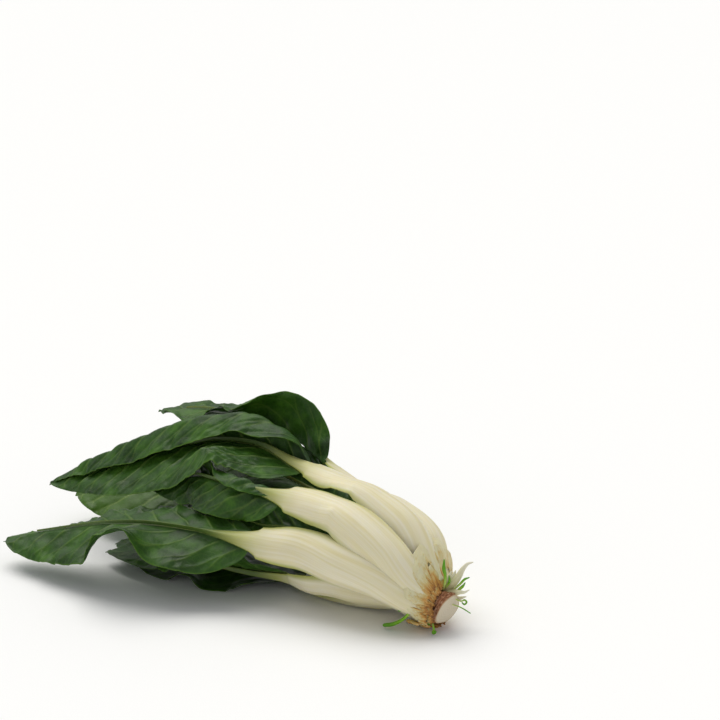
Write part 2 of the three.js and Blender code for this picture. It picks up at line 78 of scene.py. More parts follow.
def softNoise(x, y, seed):  # a smooth random field from -1 to 1, with one cell for each unit of x and y
    lattice = np.pad(np.random.default_rng(seed).uniform(-1, 1, (64, 64)), (0, 1), "wrap")
    x, y = np.broadcast_arrays(x, y)
    ix, iy = np.floor(x).astype(int), np.floor(y).astype(int)
    fx, fy = x - ix, y - iy
    fx, fy = [f * f * f * (f * (f * 6 - 15) + 10) for f in (fx, fy)]
    return readBetween(lattice.T, iy % 64, ix % 64, fy, fx)


def unit(v):
    return v / np.maximum(np.linalg.norm(v, axis=-1, keepdims=True), 1e-9)


# ---- view, light and floor

view = {"place": (1.21357, -1.5898, 0.81286), "turn": 34.0, "down": 16.0, "lens": 100.0, "sensor": 36.0}
light = {
    "world": "#f6f7f9", "worldStrength": 0.55,
    "key": {"from": (-0.55, 0.25, 1.25), "strength": 1.95, "softness": 55, "colour": "#fffdf7"},
}


def aim(obj, target):
    obj.rotation_euler = (Vector(target) - obj.location).to_track_quat("-Z", "Y").to_euler()


cameraData = bpy.data.cameras.new("camera")
cameraData.lens = view["lens"]
cameraData.sensor_width = view["sensor"]
cameraData.clip_end = 50
camera = bpy.data.objects.new("camera", cameraData)
scene.collection.objects.link(camera)
turn, down = math.radians(view["turn"]), math.radians(view["down"])
ahead = Vector((-math.sin(turn) * math.cos(down), math.cos(turn) * math.cos(down), -math.sin(down)))
camera.location = view["place"]
camera.rotation_euler = ahead.to_track_quat("-Z", "Y").to_euler()
scene.camera = camera

# one wide soft source keeps the floor even out to its far end
sunData = bpy.data.lights.new("softSun", "SUN")
sunData.energy = light["key"]["strength"]
sunData.angle = math.radians(light["key"]["softness"])
sunData.color = linear(light["key"]["colour"])[:3]
sun = bpy.data.objects.new("softSun", sunData)
sun.location = light["key"]["from"]
scene.collection.objects.link(sun)
aim(sun, (0, 0, 0))

world = bpy.data.worlds.new("studio")
scene.world = world
world.use_nodes = True
background = world.node_tree.nodes["Background"]
background.inputs["Color"].default_value = linear(light["world"])
background.inputs["Strength"].default_value = light["worldStrength"]


# ---- materials


def addNode(tree, kind, links=None, ramp=None, **settings):  # one shader node with its settings and its links
    node = tree.nodes.new("ShaderNode" + kind)
    for key, value in settings.items():
        setattr(node, key, value)
    for socket, source in (links or {}).items():
        if isinstance(source, bpy.types.Node):  # a node given as a source means its first output
            source = source.outputs[0]
        if isinstance(source, bpy.types.NodeSocket):
            tree.links.new(source, node.inputs[socket])
        else:
            node.inputs[socket].default_value = source
    if ramp:
        stops = node.color_ramp.elements
        while len(stops) < len(ramp):
            stops.new(0.5)
        for stop, (position, colour) in zip(stops, ramp):
            stop.position = position
            stop.color = linear(colour) if isinstance(colour, str) else (colour, colour, colour, 1)
    return node


def newMaterial(name):
    material = bpy.data.materials.new(name)
    material.use_nodes = True
    tree = material.node_tree
    tree.nodes.clear()
    return material, tree


# Fresh chard blade: grown skin under a thin wax bloom. The wax gives a soft grey sheen over a dark green
# that is nearly flat in shade, and the pale veins stand out of it.
bladeLook = {
    "deep": "#143008", "mid": "#284f0e", "bright": "#477417",
    # young is the paler green of young inner leaves and also painted light: a glow of light shining through
    # the back leaf
    "youngAndBacklit": "#4a6f1f", "wax": "#4f6b3a", "net": "#5f7d35", "vein": "#86a04a", "rib": "#93a85a",
    "margin": "#5a8020", "glow": "#7aa61e", "waxShare": 0.2, "netShare": 0.1,
    "patchMm": 26, "speckMm": 2.2, "netMm": 5.5,
    "poreMm": 0.9,  # pores are drawn coarser than the real 0.05 mm
}


def makeBlade():
    look = bladeLook
    material, tree = newMaterial("Chard blade, grown skin with wax bloom")
    plane = addNode(tree, "Attribute", attribute_name="leafPlane").outputs["Vector"]
    vein, rib, edge, under, pale = [
        addNode(tree, "Attribute", attribute_name=n).outputs["Fac"]
        for n in ("vein", "rib", "edge", "under", "pale")
    ]
    patch = addNode(
        tree, "TexNoise", {"Vector": plane, "Scale": 1 / look["patchMm"], "Detail": 4.0, "Roughness": 0.6},
    )
    speck = addNode(
        tree, "TexNoise", {"Vector": plane, "Scale": 1 / look["speckMm"], "Detail": 3.0, "Roughness": 0.6},
    )
    pore = addNode(tree, "TexNoise", {"Vector": plane, "Scale": 1 / look["poreMm"], "Detail": 2.0})
    bent = addNode(tree, "VectorMath", {0: plane, 1: speck.outputs["Color"]}, operation="ADD")
    net = addNode(
        tree, "TexVoronoi", {"Vector": bent, "Scale": 1 / look["netMm"]}, feature="DISTANCE_TO_EDGE",
    )
    netLine = addNode(
        tree, "MapRange", {"Value": net, "From Min": 0.0, "From Max": 0.16, "To Min": 1.0, "To Max": 0.0},
    )
    green = addNode(
        tree, "ValToRGB", {"Fac": patch},
        ramp=[(0.3, look["deep"]), (0.52, look["mid"]), (0.75, look["bright"])],
    )
    waxShare = addNode(tree, "Math", {0: under, 1: speck}, operation="MULTIPLY")
    waxShare = addNode(tree, "Math", {0: waxShare, 1: look["waxShare"]}, operation="MULTIPLY")
    netShare = addNode(tree, "Math", {0: netLine, 1: look["netShare"]}, operation="MULTIPLY")
    colour = green
    layers = [
        # the pale share mixes in that green: the real tone of young inner leaves, and painted light through
        # the blade on the back leaf
        (pale, "youngAndBacklit"), (waxShare, "wax"), (netShare, "net"), (vein, "vein"), (edge, "margin"), (rib, "rib"),
    ]
    for share, over in layers:
        layer = addNode(tree, "Mix", {"Factor": share, 6: colour, 7: linear(look[over])}, data_type="RGBA")
        colour = layer.outputs[2]
    gloss = addNode(
        tree, "MapRange",
        {"Value": patch, "From Min": 0.3, "From Max": 0.7, "To Min": 0.38, "To Max": 0.52},
    )
    netHigh = addNode(tree, "Math", {0: netLine, 1: -0.6}, operation="MULTIPLY")
    height = addNode(tree, "Math", {0: netHigh, 1: pore}, operation="ADD")
    bump = addNode(tree, "Bump", {"Height": height, "Strength": 0.35, "Distance": 0.0005})
    skin = addNode(tree, "BsdfPrincipled", {
        "Base Color": colour, "Roughness": gloss, "IOR": 1.4, "Specular IOR Level": 0.36,
        "Coat Weight": 0.05, "Coat Roughness": 0.28, "Normal": bump,
    })
    through = addNode(tree, "BsdfTranslucent", {"Color": linear(look["glow"]), "Normal": bump})
    both = addNode(tree, "MixShader", {0: 0.12, 1: skin, 2: through})
    addNode(tree, "OutputMaterial", {"Surface": both})
    return material


# Chard stalk: fleshy and ribbed lengthwise as it grew. Wet cells under a thin skin give a cream body that
# light enters a little, with a satin sheen broken by the fibres.
stalkLook = {
    "cream": "#e2dab8", "shade": "#dad09f", "pale": "#e8e2cc",
    "green": "#a3a94a", "leaf": "#33591a", "blush": "#d9cd92",
    "fibreMm": 3.4, "fibreLongMm": 160, "patchMm": 44,
}


def makeStalk():
    look = stalkLook
    material, tree = newMaterial("Chard stalk, grown ribbed flesh")
    plane = addNode(tree, "Attribute", attribute_name="leafPlane").outputs["Vector"]
    green, leafy = [addNode(tree, "Attribute", attribute_name=n).outputs["Fac"] for n in ("green", "leafy")]
    stretched = addNode(
        tree, "VectorMath", {0: plane, 1: (1 / look["fibreLongMm"], 1 / look["fibreMm"], 0.01)},
        operation="MULTIPLY",
    )
    fibre = addNode(tree, "TexNoise", {"Vector": stretched, "Scale": 1.0, "Detail": 3.0, "Roughness": 0.6})
    patch = addNode(tree, "TexNoise", {"Vector": plane, "Scale": 1 / look["patchMm"], "Detail": 3.0})
    body = addNode(
        tree, "ValToRGB", {"Fac": fibre},
        ramp=[(0.3, look["shade"]), (0.5, look["cream"]), (0.72, look["pale"])],
    )
    blushShare = addNode(
        tree, "MapRange", {"Value": patch, "From Min": 0.5, "From Max": 0.8, "To Min": 0.0, "To Max": 0.3},
    )
    colour = body
    for share, over in [(blushShare, "blush"), (green, "green"), (leafy, "leaf")]:
        layer = addNode(tree, "Mix", {"Factor": share, 6: colour, 7: linear(look[over])}, data_type="RGBA")
        colour = layer.outputs[2]
    gloss = addNode(
        tree, "MapRange",
        {"Value": fibre, "From Min": 0.3, "From Max": 0.7, "To Min": 0.36, "To Max": 0.5},
    )
    bump = addNode(tree, "Bump", {"Height": fibre, "Strength": 0.05, "Distance": 0.0008})
    flesh = addNode(tree, "BsdfPrincipled", {
        "Base Color": colour, "Roughness": gloss, "IOR": 1.4,
        "Subsurface Weight": 0.25, "Subsurface Radius": (1.0, 0.8, 0.3), "Subsurface Scale": 0.005,
        "Normal": bump,
    })
    addNode(tree, "OutputMaterial", {"Surface": flesh})
    return material


# Root rind: corky skin scraped and dried. It gives a rough matte brown with paler rubbed crests.
rindLook = {
    "dark": "#5c3318", "brown": "#9a623a", "crest": "#d3a988", "neck": "#c9bf90", "flakeMm": 3.2,
    "grainMm": 0.8,
}


def makeRind():
    look = rindLook
    material, tree = newMaterial("Root rind, dried corky skin")
    spot = addNode(tree, "TexCoord").outputs["Object"]
    flake = addNode(
        tree, "TexNoise",
        {"Vector": spot, "Scale": 1000 / look["flakeMm"], "Detail": 5.0, "Roughness": 0.65},
    )
    grain = addNode(tree, "TexNoise", {"Vector": spot, "Scale": 1000 / look["grainMm"], "Detail": 2.0})
    colour = addNode(
        tree, "ValToRGB", {"Fac": flake},
        ramp=[(0.3, look["dark"]), (0.48, look["brown"]), (0.7, look["crest"])],
    )
    pale = addNode(tree, "Attribute", attribute_name="pale").outputs["Fac"]
    neck = addNode(tree, "Mix", {"Factor": pale, 6: colour, 7: linear(look["neck"])}, data_type="RGBA")
    height = addNode(tree, "Math", {0: flake, 1: grain}, operation="ADD")
    bump = addNode(tree, "Bump", {"Height": height, "Strength": 0.7, "Distance": 0.001})
    rough = addNode(tree, "MapRange", {"Value": flake, "To Min": 0.6, "To Max": 0.85})
    skin = addNode(
        tree, "BsdfPrincipled", {"Base Color": neck.outputs[2], "Roughness": rough, "Normal": bump},
    )
    addNode(tree, "OutputMaterial", {"Surface": skin})
    return material


# Cut root: knife-cut flesh, moist and cream, with faint growth rings and a darker line under the rind.
cutLook = {"flesh": "#cfc3ab", "ring": "#bfae8d", "line": "#a98a5c", "poreMm": 0.7}


def makeCut():
    look = cutLook
    material, tree = newMaterial("Root flesh, knife cut")
    radial = addNode(tree, "Attribute", attribute_name="radial").outputs["Fac"]
    spot = addNode(tree, "TexCoord").outputs["Object"]
    pore = addNode(tree, "TexNoise", {"Vector": spot, "Scale": 1000 / look["poreMm"], "Detail": 3.0})
    shift = addNode(tree, "TexNoise", {"Vector": spot, "Scale": 160.0, "Detail": 2.0})
    wobble = addNode(tree, "Math", {0: shift, 1: 0.12, 2: radial}, operation="MULTIPLY_ADD")
    rings = addNode(tree, "Math", {0: wobble, 1: 34.0}, operation="MULTIPLY")
    wave = addNode(tree, "Math", {0: rings}, operation="SINE")
    share = addNode(
        tree, "MapRange", {"Value": wave, "From Min": 0.2, "From Max": 1.0, "To Min": 0.0, "To Max": 0.35},
    )
    flesh = addNode(
        tree, "Mix", {"Factor": share, 6: linear(look["flesh"]), 7: linear(look["ring"])},
        data_type="RGBA",
    )
    rim = addNode(
        tree, "MapRange",
        {"Value": radial, "From Min": 0.88, "From Max": 1.0, "To Min": 0.0, "To Max": 0.9},
    )
    colour = addNode(
        tree, "Mix", {"Factor": rim, 6: flesh.outputs[2], 7: linear(look["line"])}, data_type="RGBA",
    )
    rough = addNode(tree, "MapRange", {"Value": pore, "To Min": 0.35, "To Max": 0.6})
    bump = addNode(tree, "Bump", {"Height": pore, "Strength": 0.25, "Distance": 0.0005})
    face = addNode(
        tree, "BsdfPrincipled", {"Base Color": colour.outputs[2], "Roughness": rough, "Normal": bump},
    )
    addNode(tree, "OutputMaterial", {"Surface": face})
    return material


# Dry scales: torn leaf bases dried to papery fibre. They give warm straw and orange streaks, dull, and let
# a little light through.
scaleLook = {
    "fresh": "#d9d1a8", "straw": "#cfb878", "orange": "#c08a3c", "dark": "#7d4f24", "fibreMm": 2.0,
    "spotMm": 6.0,
}


def makeScale():
    look = scaleLook
    material, tree = newMaterial("Dry leaf base, papery fibre")
    plane = addNode(tree, "Attribute", attribute_name="leafPlane").outputs["Vector"]
    reach = addNode(tree, "Attribute", attribute_name="reach").outputs["Fac"]
    stretched = addNode(
        tree, "VectorMath", {0: plane, 1: (0.12, 1 / look["fibreMm"], 0.3)}, operation="MULTIPLY",
    )
    fibre = addNode(
        tree, "TexNoise",
        {"Vector": stretched, "Scale": 1.0, "Detail": 3.0, "Roughness": 0.6},
    )
    spot = addNode(
        tree, "TexNoise", {"Vector": plane, "Scale": 1 / look["spotMm"], "Detail": 3.0, "Roughness": 0.7},
    )
    both = addNode(tree, "Math", {0: fibre, 1: spot}, operation="ADD")
    both = addNode(tree, "Math", {0: both, 1: 0.8, 2: -0.8}, operation="MULTIPLY_ADD")
    age = addNode(tree, "Math", {0: reach, 1: 0.85, 2: both}, operation="MULTIPLY_ADD")
    colour = addNode(
        tree, "ValToRGB", {"Fac": age},
        ramp=[(0.2, look["fresh"]), (0.45, look["straw"]), (0.68, look["orange"]), (0.95, look["dark"])],
    )
    rough = addNode(tree, "MapRange", {"Value": fibre, "To Min": 0.42, "To Max": 0.75})
    bump = addNode(tree, "Bump", {"Height": fibre, "Strength": 0.5, "Distance": 0.0008})
    dry = addNode(tree, "BsdfPrincipled", {
        "Base Color": colour, "Roughness": rough, "Normal": bump,
        "Subsurface Weight": 0.15, "Subsurface Radius": (1.0, 0.6, 0.25), "Subsurface Scale": 0.002,
    })
    addNode(tree, "OutputMaterial", {"Surface": dry})
    return material


# Young shoots: thin fresh skin, turgid and smooth. Bright green at the tip, paler at the foot, satin.
shootLook = {"body": "#78b018", "tip": "#5a9a12", "foot": "#c6d27c", "fibreMm": 0.8}
stubLook = {"body": "#d2cda6", "tip": "#e3dfc8", "foot": "#c3b98a", "fibreMm": 0.8}


def makeShoot(name, look):
    material, tree = newMaterial(name)
    plane = addNode(tree, "Attribute", attribute_name="leafPlane").outputs["Vector"]
    reach = addNode(tree, "Attribute", attribute_name="reach").outputs["Fac"]
    stretched = addNode(
        tree, "VectorMath", {0: plane, 1: (0.12, 1 / look["fibreMm"], 0.3)}, operation="MULTIPLY",
    )
    fibre = addNode(tree, "TexNoise", {"Vector": stretched, "Scale": 1.0, "Detail": 3.0})
    place = addNode(tree, "Math", {0: fibre, 1: 0.3, 2: reach}, operation="MULTIPLY_ADD")
    colour = addNode(
        tree, "ValToRGB", {"Fac": place},
        ramp=[(0.2, look["foot"]), (0.6, look["body"]), (1.0, look["tip"])],
    )
    rough = addNode(tree, "MapRange", {"Value": fibre, "To Min": 0.3, "To Max": 0.5})
    bump = addNode(tree, "Bump", {"Height": fibre, "Strength": 0.3, "Distance": 0.0003})
    skin = addNode(
        tree, "BsdfPrincipled", {"Base Color": colour, "Roughness": rough, "IOR": 1.42, "Normal": bump},
    )
    addNode(tree, "OutputMaterial", {"Surface": skin})
    return material


# Floor: matte paper sweep. Nearly white, so that only the soft shadow shows on it.
def makePaper():
    material, tree = newMaterial("Paper sweep, matte")
    spot = addNode(tree, "TexCoord").outputs["Object"]
    tooth = addNode(tree, "TexNoise", {"Vector": spot, "Scale": 900.0, "Detail": 2.0})
    colour = addNode(tree, "ValToRGB", {"Fac": tooth}, ramp=[(0.3, "#f6f6f6"), (0.7, "#fbfbfb")])
    paper = addNode(
        tree, "BsdfPrincipled", {"Base Color": colour, "Roughness": 0.9, "Specular IOR Level": 0.1},
    )
    addNode(tree, "OutputMaterial", {"Surface": paper})
    return material


bladeSkin = makeBlade()
stalkFlesh = makeStalk()
rootRind = makeRind()
rootCut = makeCut()
dryFibre = makeScale()
greenShoot = makeShoot("Young shoot, fresh skin", shootLook)
paleShoot = makeShoot("Stub of a side stem, fresh skin", stubLook)
print("materials made")

bpy.ops.mesh.primitive_grid_add(x_subdivisions=8, y_subdivisions=8, size=60)
floor = bpy.context.object
floor.name = "floor"
floor.data.materials.append(makePaper())


# ---- meshes

bunchShift = np.array([8.6345, -7.8724, 0.0])  # from the leaf maths to the frame, in mm


def makeMesh(name, points, faces, materials, marks=None, faceMaterial=None):
    mesh = bpy.data.meshes.new(name)
    faces = np.asarray(faces, np.int32)
    corners = faces.shape[1]
    mesh.vertices.add(len(points))
    mesh.vertices.foreach_set("co", ((points + bunchShift) / 1000).astype(np.float32).ravel())
    mesh.loops.add(faces.size)
    mesh.loops.foreach_set("vertex_index", faces.ravel())
    mesh.polygons.add(len(faces))
    mesh.polygons.foreach_set("loop_start", np.arange(0, faces.size, corners, dtype=np.int32))
    mesh.polygons.foreach_set("loop_total", np.full(len(faces), corners, np.int32))
    mesh.update(calc_edges=True)
    mesh.validate()
    for mark, values in (marks or {}).items():
        values = np.asarray(values, np.float32)
        kind = "FLOAT_VECTOR" if values.ndim == 2 else "FLOAT"
        attribute = mesh.attributes.new(mark, kind, "POINT")
        attribute.data.foreach_set("vector" if values.ndim == 2 else "value", values.ravel())
    for material in materials:
        mesh.materials.append(material)
    if faceMaterial is not None:
        mesh.polygons.foreach_set("material_index", np.asarray(faceMaterial, np.int32))
    mesh.polygons.foreach_set("use_smooth", np.ones(len(mesh.polygons), bool))
    obj = bpy.data.objects.new(name, mesh)
    scene.collection.objects.link(obj)
    return obj


def gridFaces(rows, columns, start=0, around=False, flip=False):
    i, j = np.meshgrid(np.arange(rows - 1), np.arange(columns if around else columns - 1), indexing="ij")
    k = (j + 1) % columns
    here, ahead = i * columns, (i + 1) * columns
    quads = np.stack([here + j, here + k, ahead + k, ahead + j], -1).reshape(-1, 4)
    return (quads[:, ::-1] if flip else quads) + start


def sheetFaces(rows, columns):  # two grids of points, one after the other, closed round their rim
    count = rows * columns
    ring = np.concatenate([
        np.arange(columns), np.arange(1, rows) * columns + columns - 1,
        (rows - 1) * columns + np.arange(columns - 2, -1, -1), np.arange(rows - 2, 0, -1) * columns,
    ])
    after = np.roll(ring, -1)
    rim = np.stack([after, ring, ring + count, after + count], 1)
    return np.vstack([gridFaces(rows, columns), gridFaces(rows, columns, count, flip=True), rim])


def gridNormals(grid):
    return unit(np.cross(np.gradient(grid, axis=1), np.gradient(grid, axis=0)))


# ---- the line of a leaf

# The middle line of the bundle of stalks: x, y, z and how far out the outer stalks run.
throat = np.array([
    [223, 0.5, 31, 16], [212, 2, 37.5, 27], [187, 8, 50, 42], [148, 13, 55.5, 50], [100, 16, 60, 54],
], float)

# Sizes from a stalk's foot to where its blade starts, in mm.
outerStalk = {"halfWidth": [14, 21, 24, 21, 16], "thickness": [6, 9, 10, 8, 6], "channel": [7, 9, 8, 5, 2.5]}
innerStalk = {"halfWidth": [5, 9, 12, 11, 8], "thickness": [4, 6, 7, 6, 4], "channel": [2, 3, 4, 3, 1.5]}
heartStalk = {"halfWidth": [3, 5, 7, 6, 5], "thickness": [3, 4, 5, 4, 3], "channel": [0.5, 1, 2, 1.5, 1]}
lowSpread = [0.85, 0.58, 0.54, 0.74, 0.94]  # underneath, the bundle is pressed flatter

grown = {
    "bladeMm": 0.7, "ribGapMm": 1.5, "ribEnd": 0.86, "lowestMm": 1.0, "stalkLowestMm": 0.3,
    "clearMm": 4.0, "throatEndMm": 130.0, "veinHighMm": 0.9, "roundMm": 4.0,
    "stalkRows": 150, "stalkOuter": 46, "stalkInner": 22,
}

# What a leaf has where its own dictionary says nothing else. Tones run from 0 to 1.
usual = {
    "rows": 200, "cells": 60, "ridgeMm": 9.5, "veinMm": 31.0,
    "puckerMm": 1.6, "crumpleMm": 1.7, "ruffleMm": 3.6,
    "pale": 0.0, "veinTone": 0.32, "ribTone": 0.2, "greenFrom": -0.12,
}


def spineOf(leaf):  # a centripetal curve through the foot and the run: points, directions and lengths
    share = np.linspace(0, 1, len(throat))
    angle = np.radians(along(leaf["angle"], share))
    radius = throat[:, 3] * along(leaf["spread"], share)
    foot = throat[:, :3] + radius[:, None] * np.stack([0 * angle, np.cos(angle), np.sin(angle)], 1)
    knots = np.vstack([foot, np.array(leaf["run"], float)])
    padded = np.vstack([2 * knots[0] - knots[1], knots, 2 * knots[-1] - knots[-2]])
    parts = []
    for i in range(len(knots) - 1):
        a, b, c, d = padded[i:i + 4]
        ab, bc, cd = [math.sqrt(np.linalg.norm(q - p)) for p, q in ((a, b), (b, c), (c, d))]
        leaving = bc * ((b - a) / ab - (c - a) / (ab + bc) + (c - b) / bc)
        arriving = bc * ((c - b) / bc - (d - b) / (bc + cd) + (d - c) / cd)
        w = np.linspace(0, 1, 120, endpoint=False)[:, None]
        squared, cubed = 3 * (c - b) - 2 * leaving - arriving, 2 * (b - c) + leaving + arriving
        parts.append(b + leaving * w + squared * w ** 2 + cubed * w ** 3)
    line = np.vstack(parts + [knots[-1:]])
    length = np.concatenate([[0], np.cumsum(np.linalg.norm(np.diff(line, axis=0), axis=1))])
    heading = unit(np.gradient(line, length, axis=0))
    return {"line": line, "heading": heading, "length": length}


def framesAt(leaf, u):  # point, direction, inner normal and right-hand side at shares u of the length
    spine = leaf["spine"]
    s = u * spine["length"][-1]
    sample = lambda values: np.stack([np.interp(s, spine["length"], values[:, k]) for k in range(3)], 1)
    point, heading = sample(spine["line"]), unit(sample(spine["heading"]))
    angle = np.radians(along(leaf["angle"], u / (leaf["bladeFrom"] * 0.7)))
    inwards = np.stack([0 * angle, -np.cos(angle), -np.sin(angle)], 1)
    stated = along(leaf["face"], (u - leaf["bladeFrom"]) / (1 - leaf["bladeFrom"]))
    turned = smooth(u, leaf["bladeFrom"] * 0.45, leaf["bladeFrom"])[:, None]
    face = unit(inwards + (stated - inwards) * turned)
    face = unit(face - heading * np.sum(face * heading, 1, keepdims=True))
    return point, heading, face, np.cross(heading, face)


def stalkShape(leaf, u):
    sizes = leaf["stalk"]
    t = np.maximum(0, (u - leaf["bladeFrom"]) / (1 - leaf["bladeFrom"]))
    s = np.minimum(1, u / leaf["bladeFrom"])
    ribShare = np.minimum(1, t / grown["ribEnd"])
    early = np.maximum(0, (u - leaf["bladeFrom"] + 0.02) / (1 - leaf["bladeFrom"]))
    taper = (1 - 0.9 * np.sqrt(np.minimum(1, early / 0.24))) * (1 - 0.5 * ribShare)
    half = along(sizes["halfWidth"], s) * taper
    thick = along(sizes["thickness"], s) * (1 - 0.7 * ribShare)
    channel = along(sizes["channel"], s) * taper * (1 - np.minimum(1, t * 3))
    return half, thick, channel


def stalkSurface(leaf):  # rows of closed rings: the outer side from left to right, then the inner side back
    end = leaf["bladeFrom"] + (1 - leaf["bladeFrom"]) * grown["ribEnd"]
    u = np.linspace(0, end, grown["stalkRows"])
    point, _, face, right = framesAt(leaf, u)
    half, thick, channel = [v[:, None] for v in stalkShape(leaf, u)]
    wOut = np.linspace(-1, 1, grown["stalkOuter"])
    wIn = np.linspace(1, -1, grown["stalkInner"])[1:-1]
    q = np.sin(np.concatenate([wOut, wIn]) * math.pi / 2)[None, :]
    outside = np.concatenate([np.ones(len(wOut)), np.zeros(len(wIn))])[None, :]
    depth = thick * (1 - 0.72 * q ** 2)
    middle = -grown["ribGapMm"] - channel + channel * q ** 2 - depth / 2
    reach = depth / 2 * np.sqrt(np.maximum(0, 1 - np.abs(q) ** 9))
    startMm = u[:, None] * leaf["spine"]["length"][-1]
    seed = leaf["seed"]
    # soft lengthwise ridges, fading out at the edges and at the foot
    wander = 0.7 * softNoise(startMm / 90, q * 2 + 5, seed) + 0.35 * softNoise(q * 4, 3.3, seed + 3)
    ridges = np.cos(2 * math.pi * (half * q / leaf["ridgeMm"] + wander + 0.25))
    ridges = ridges * (1 - np.abs(q) ** 4) * smooth(half, 3, 9) * smooth(startMm, 5, 45)
    strength = 0.55 + 0.45 * softNoise(startMm / 50 + 9, q * 3, seed + 1)
    bumps = outside * (0.1 * ridges * strength + 0.6 * softNoise(startMm / 36, q * 1.6, seed + 2))
    height = middle + np.where(outside > 0, -1, 1) * reach - bumps
    across = q * half
    rings = point[:, None] + right[:, None] * across[..., None] + face[:, None] * height[..., None]
    # the flesh turns greener along its thin edges and as it runs out into the blade
    t = (u - leaf["bladeFrom"]) / (1 - leaf["bladeFrom"])
    edgeGreen = smooth(np.abs(q), 0.74, 1.0) * smooth(u / leaf["bladeFrom"], 0.2, 0.85)[:, None] * 0.95
    green = np.maximum(edgeGreen, smooth(t, leaf["greenFrom"], 0.08)[:, None] * (0.8 + 0 * q))
    leafy = smooth(t, 0.0, 0.2)[:, None] * (1 - leaf["ribTone"]) + 0 * q
    plane = np.stack(np.broadcast_arrays(startMm, across, leaf["seed"] * 53.0), -1)
    return rings, {"green": green, "leafy": leafy, "leafPlane": plane}


# ---- a blade

still = {"fold": [0, 0], "foldAt": [0.5, 0.5]}  # a half with no fold in it


def bladeSurface(leaf):  # the middle surface from the left margin over the midrib to the right one
    rows, cells = leaf["rows"], leaf["cells"]
    t = np.linspace(0, 1, rows)
    u = leaf["bladeFrom"] + (1 - leaf["bladeFrom"]) * t
    point, _, face, right = framesAt(leaf, u)
    rib = stalkShape(leaf, u)[0]
    early, blunt = leaf["outline"]
    outline = np.sin(math.pi * np.clip(t, 0.004, 0.99) ** early) ** blunt
    seed = leaf["seed"]
    halves, planes, shares = [], [], []
    for side, sign, width in (("left", -1, leaf["halfWidth"][0]), ("right", 1, leaf["halfWidth"][1])):
        width = np.maximum(np.maximum(width * outline, rib * 0.95), 4)[:, None]
        q = (np.arange(cells)[None, :] + 0.5) / cells
        flat = np.minimum(0.6, rib[:, None] / width)
        bend = smooth(q, flat * 0.8, flat * 1.5)
        bends = {**still, **leaf[side]}
        lift, curl, fold, foldAt = [along(bends[k], t)[:, None] for k in ("lift", "curl", "fold", "foldAt")]
        angle = np.radians(bend * (lift + curl * q) + fold * smooth(q, foldAt - 0.14, foldAt + 0.14))
        across = np.cumsum(np.cos(angle) * width / cells, 1)
        height = np.cumsum(np.sin(angle) * width / cells, 1)
        across = np.hstack([np.zeros((rows, 1)), across])
        height = np.hstack([np.zeros((rows, 1)), height])
        grid = point[:, None] + sign * right[:, None] * across[..., None] + face[:, None] * height[..., None]
        share = np.broadcast_to(np.arange(cells + 1) / cells, (rows, cells + 1))
        halves.append(grid)
        planes.append(sign * share * width)
        shares.append(sign * share)
    join = lambda left, right_: np.concatenate([left[:, ::-1], right_[:, 1:]], 1)
    grid, y, q = join(*halves), join(*planes), join(*shares)
    x = np.broadcast_to((t * (1 - leaf["bladeFrom"]) * leaf["spine"]["length"][-1])[:, None], y.shape)
    far = np.abs(q)
    ribHalf = rib[:, None]
    clear = smooth(np.abs(y), ribHalf * 0.8, ribHalf * 1.5 + 5)

    # side veins leave the midrib every 20 to 30 mm, lean towards the tip and fork before the margin
    spacing = leaf["veinMm"]
    wander = 0.16 * softNoise(x / 30, y / 30, seed + 3)
    wander = wander + 0.22 * softNoise(x / 55, np.sign(y) * 3 + 0.5, seed + 4)
    order = (x - 0.95 * np.abs(y) - 0.0035 * y ** 2) / spacing + wander + np.where(y < 0, 0.5, 0.0)
    off = np.abs(order - np.round(order))
    fork = 0.3 * smooth(far, 0.5, 1.0)
    distance = np.abs(off - fork) * spacing * 0.7
    veinHalf = 1.3 - 0.9 * far
    vein = np.exp(-(distance / veinHalf) ** 2) * (1 - smooth(far, 0.8, 1.0)) * clear
    main = np.exp(-(distance / 3.4) ** 2)

    # between the veins the blade swells towards its inner side, and the margin waves
    swell = leaf["puckerMm"] * (1 - main) * clear * (1 - 0.5 * far)
    swell = swell * (0.75 + 0.5 * softNoise(x / 40, y / 40, seed + 5))
    creases = softNoise(x / 26, y / 22, seed + 6) + 0.45 * softNoise(x / 11, y / 10, seed + 7)
    crumple = leaf["crumpleMm"] * clear * creases
    ends = smooth(t, 0.03, 0.2)[:, None] * (1 - 0.5 * smooth(t, 0.9, 1.0))[:, None]
    sideSeed = np.where(y < 0, 7.3, 31.8)
    waves = softNoise(x / 17, sideSeed + far * 1.2, seed + 8)
    waves = waves + 0.4 * softNoise(x / 7.5, sideSeed + far * 2, seed + 9)
    ruffle = leaf["ruffleMm"] * smooth(far, 0.45, 1.0) ** 1.3 * ends * waves
    grid = grid + gridNormals(grid) * (swell + crumple + ruffle)[..., None]
    edge = smooth(far, 0.972, 1.0) * smooth(t, 0.0, 0.1)[:, None]
    ribMark = 1 - smooth(np.abs(y), ribHalf * 0.75, ribHalf * 1.15)
    ribMark = ribMark * (1 - 0.85 * smooth(t, 0.1, 0.6))[:, None]
    plane = np.stack([x, y, np.full_like(y, seed * 53.0)], -1)
    marks = {
        "vein": vein * (leaf["veinTone"] * (1 - 0.5 * far)), "rib": ribMark, "edge": edge * 0.8,
        "pale": np.full_like(y, leaf["pale"]), "leafPlane": plane,
    }
    return grid, vein, far, marks


# ---- laying the leaves on each other

cellMm, cellCount = 8.0, 100
pile = np.full((cellCount, cellCount), -np.inf)


def cellOf(points):
    at = np.clip(np.floor(points[:, :2] / cellMm + cellCount / 2 + 0.5).astype(int), 1, cellCount - 2)
    return at[:, 1], at[:, 0]


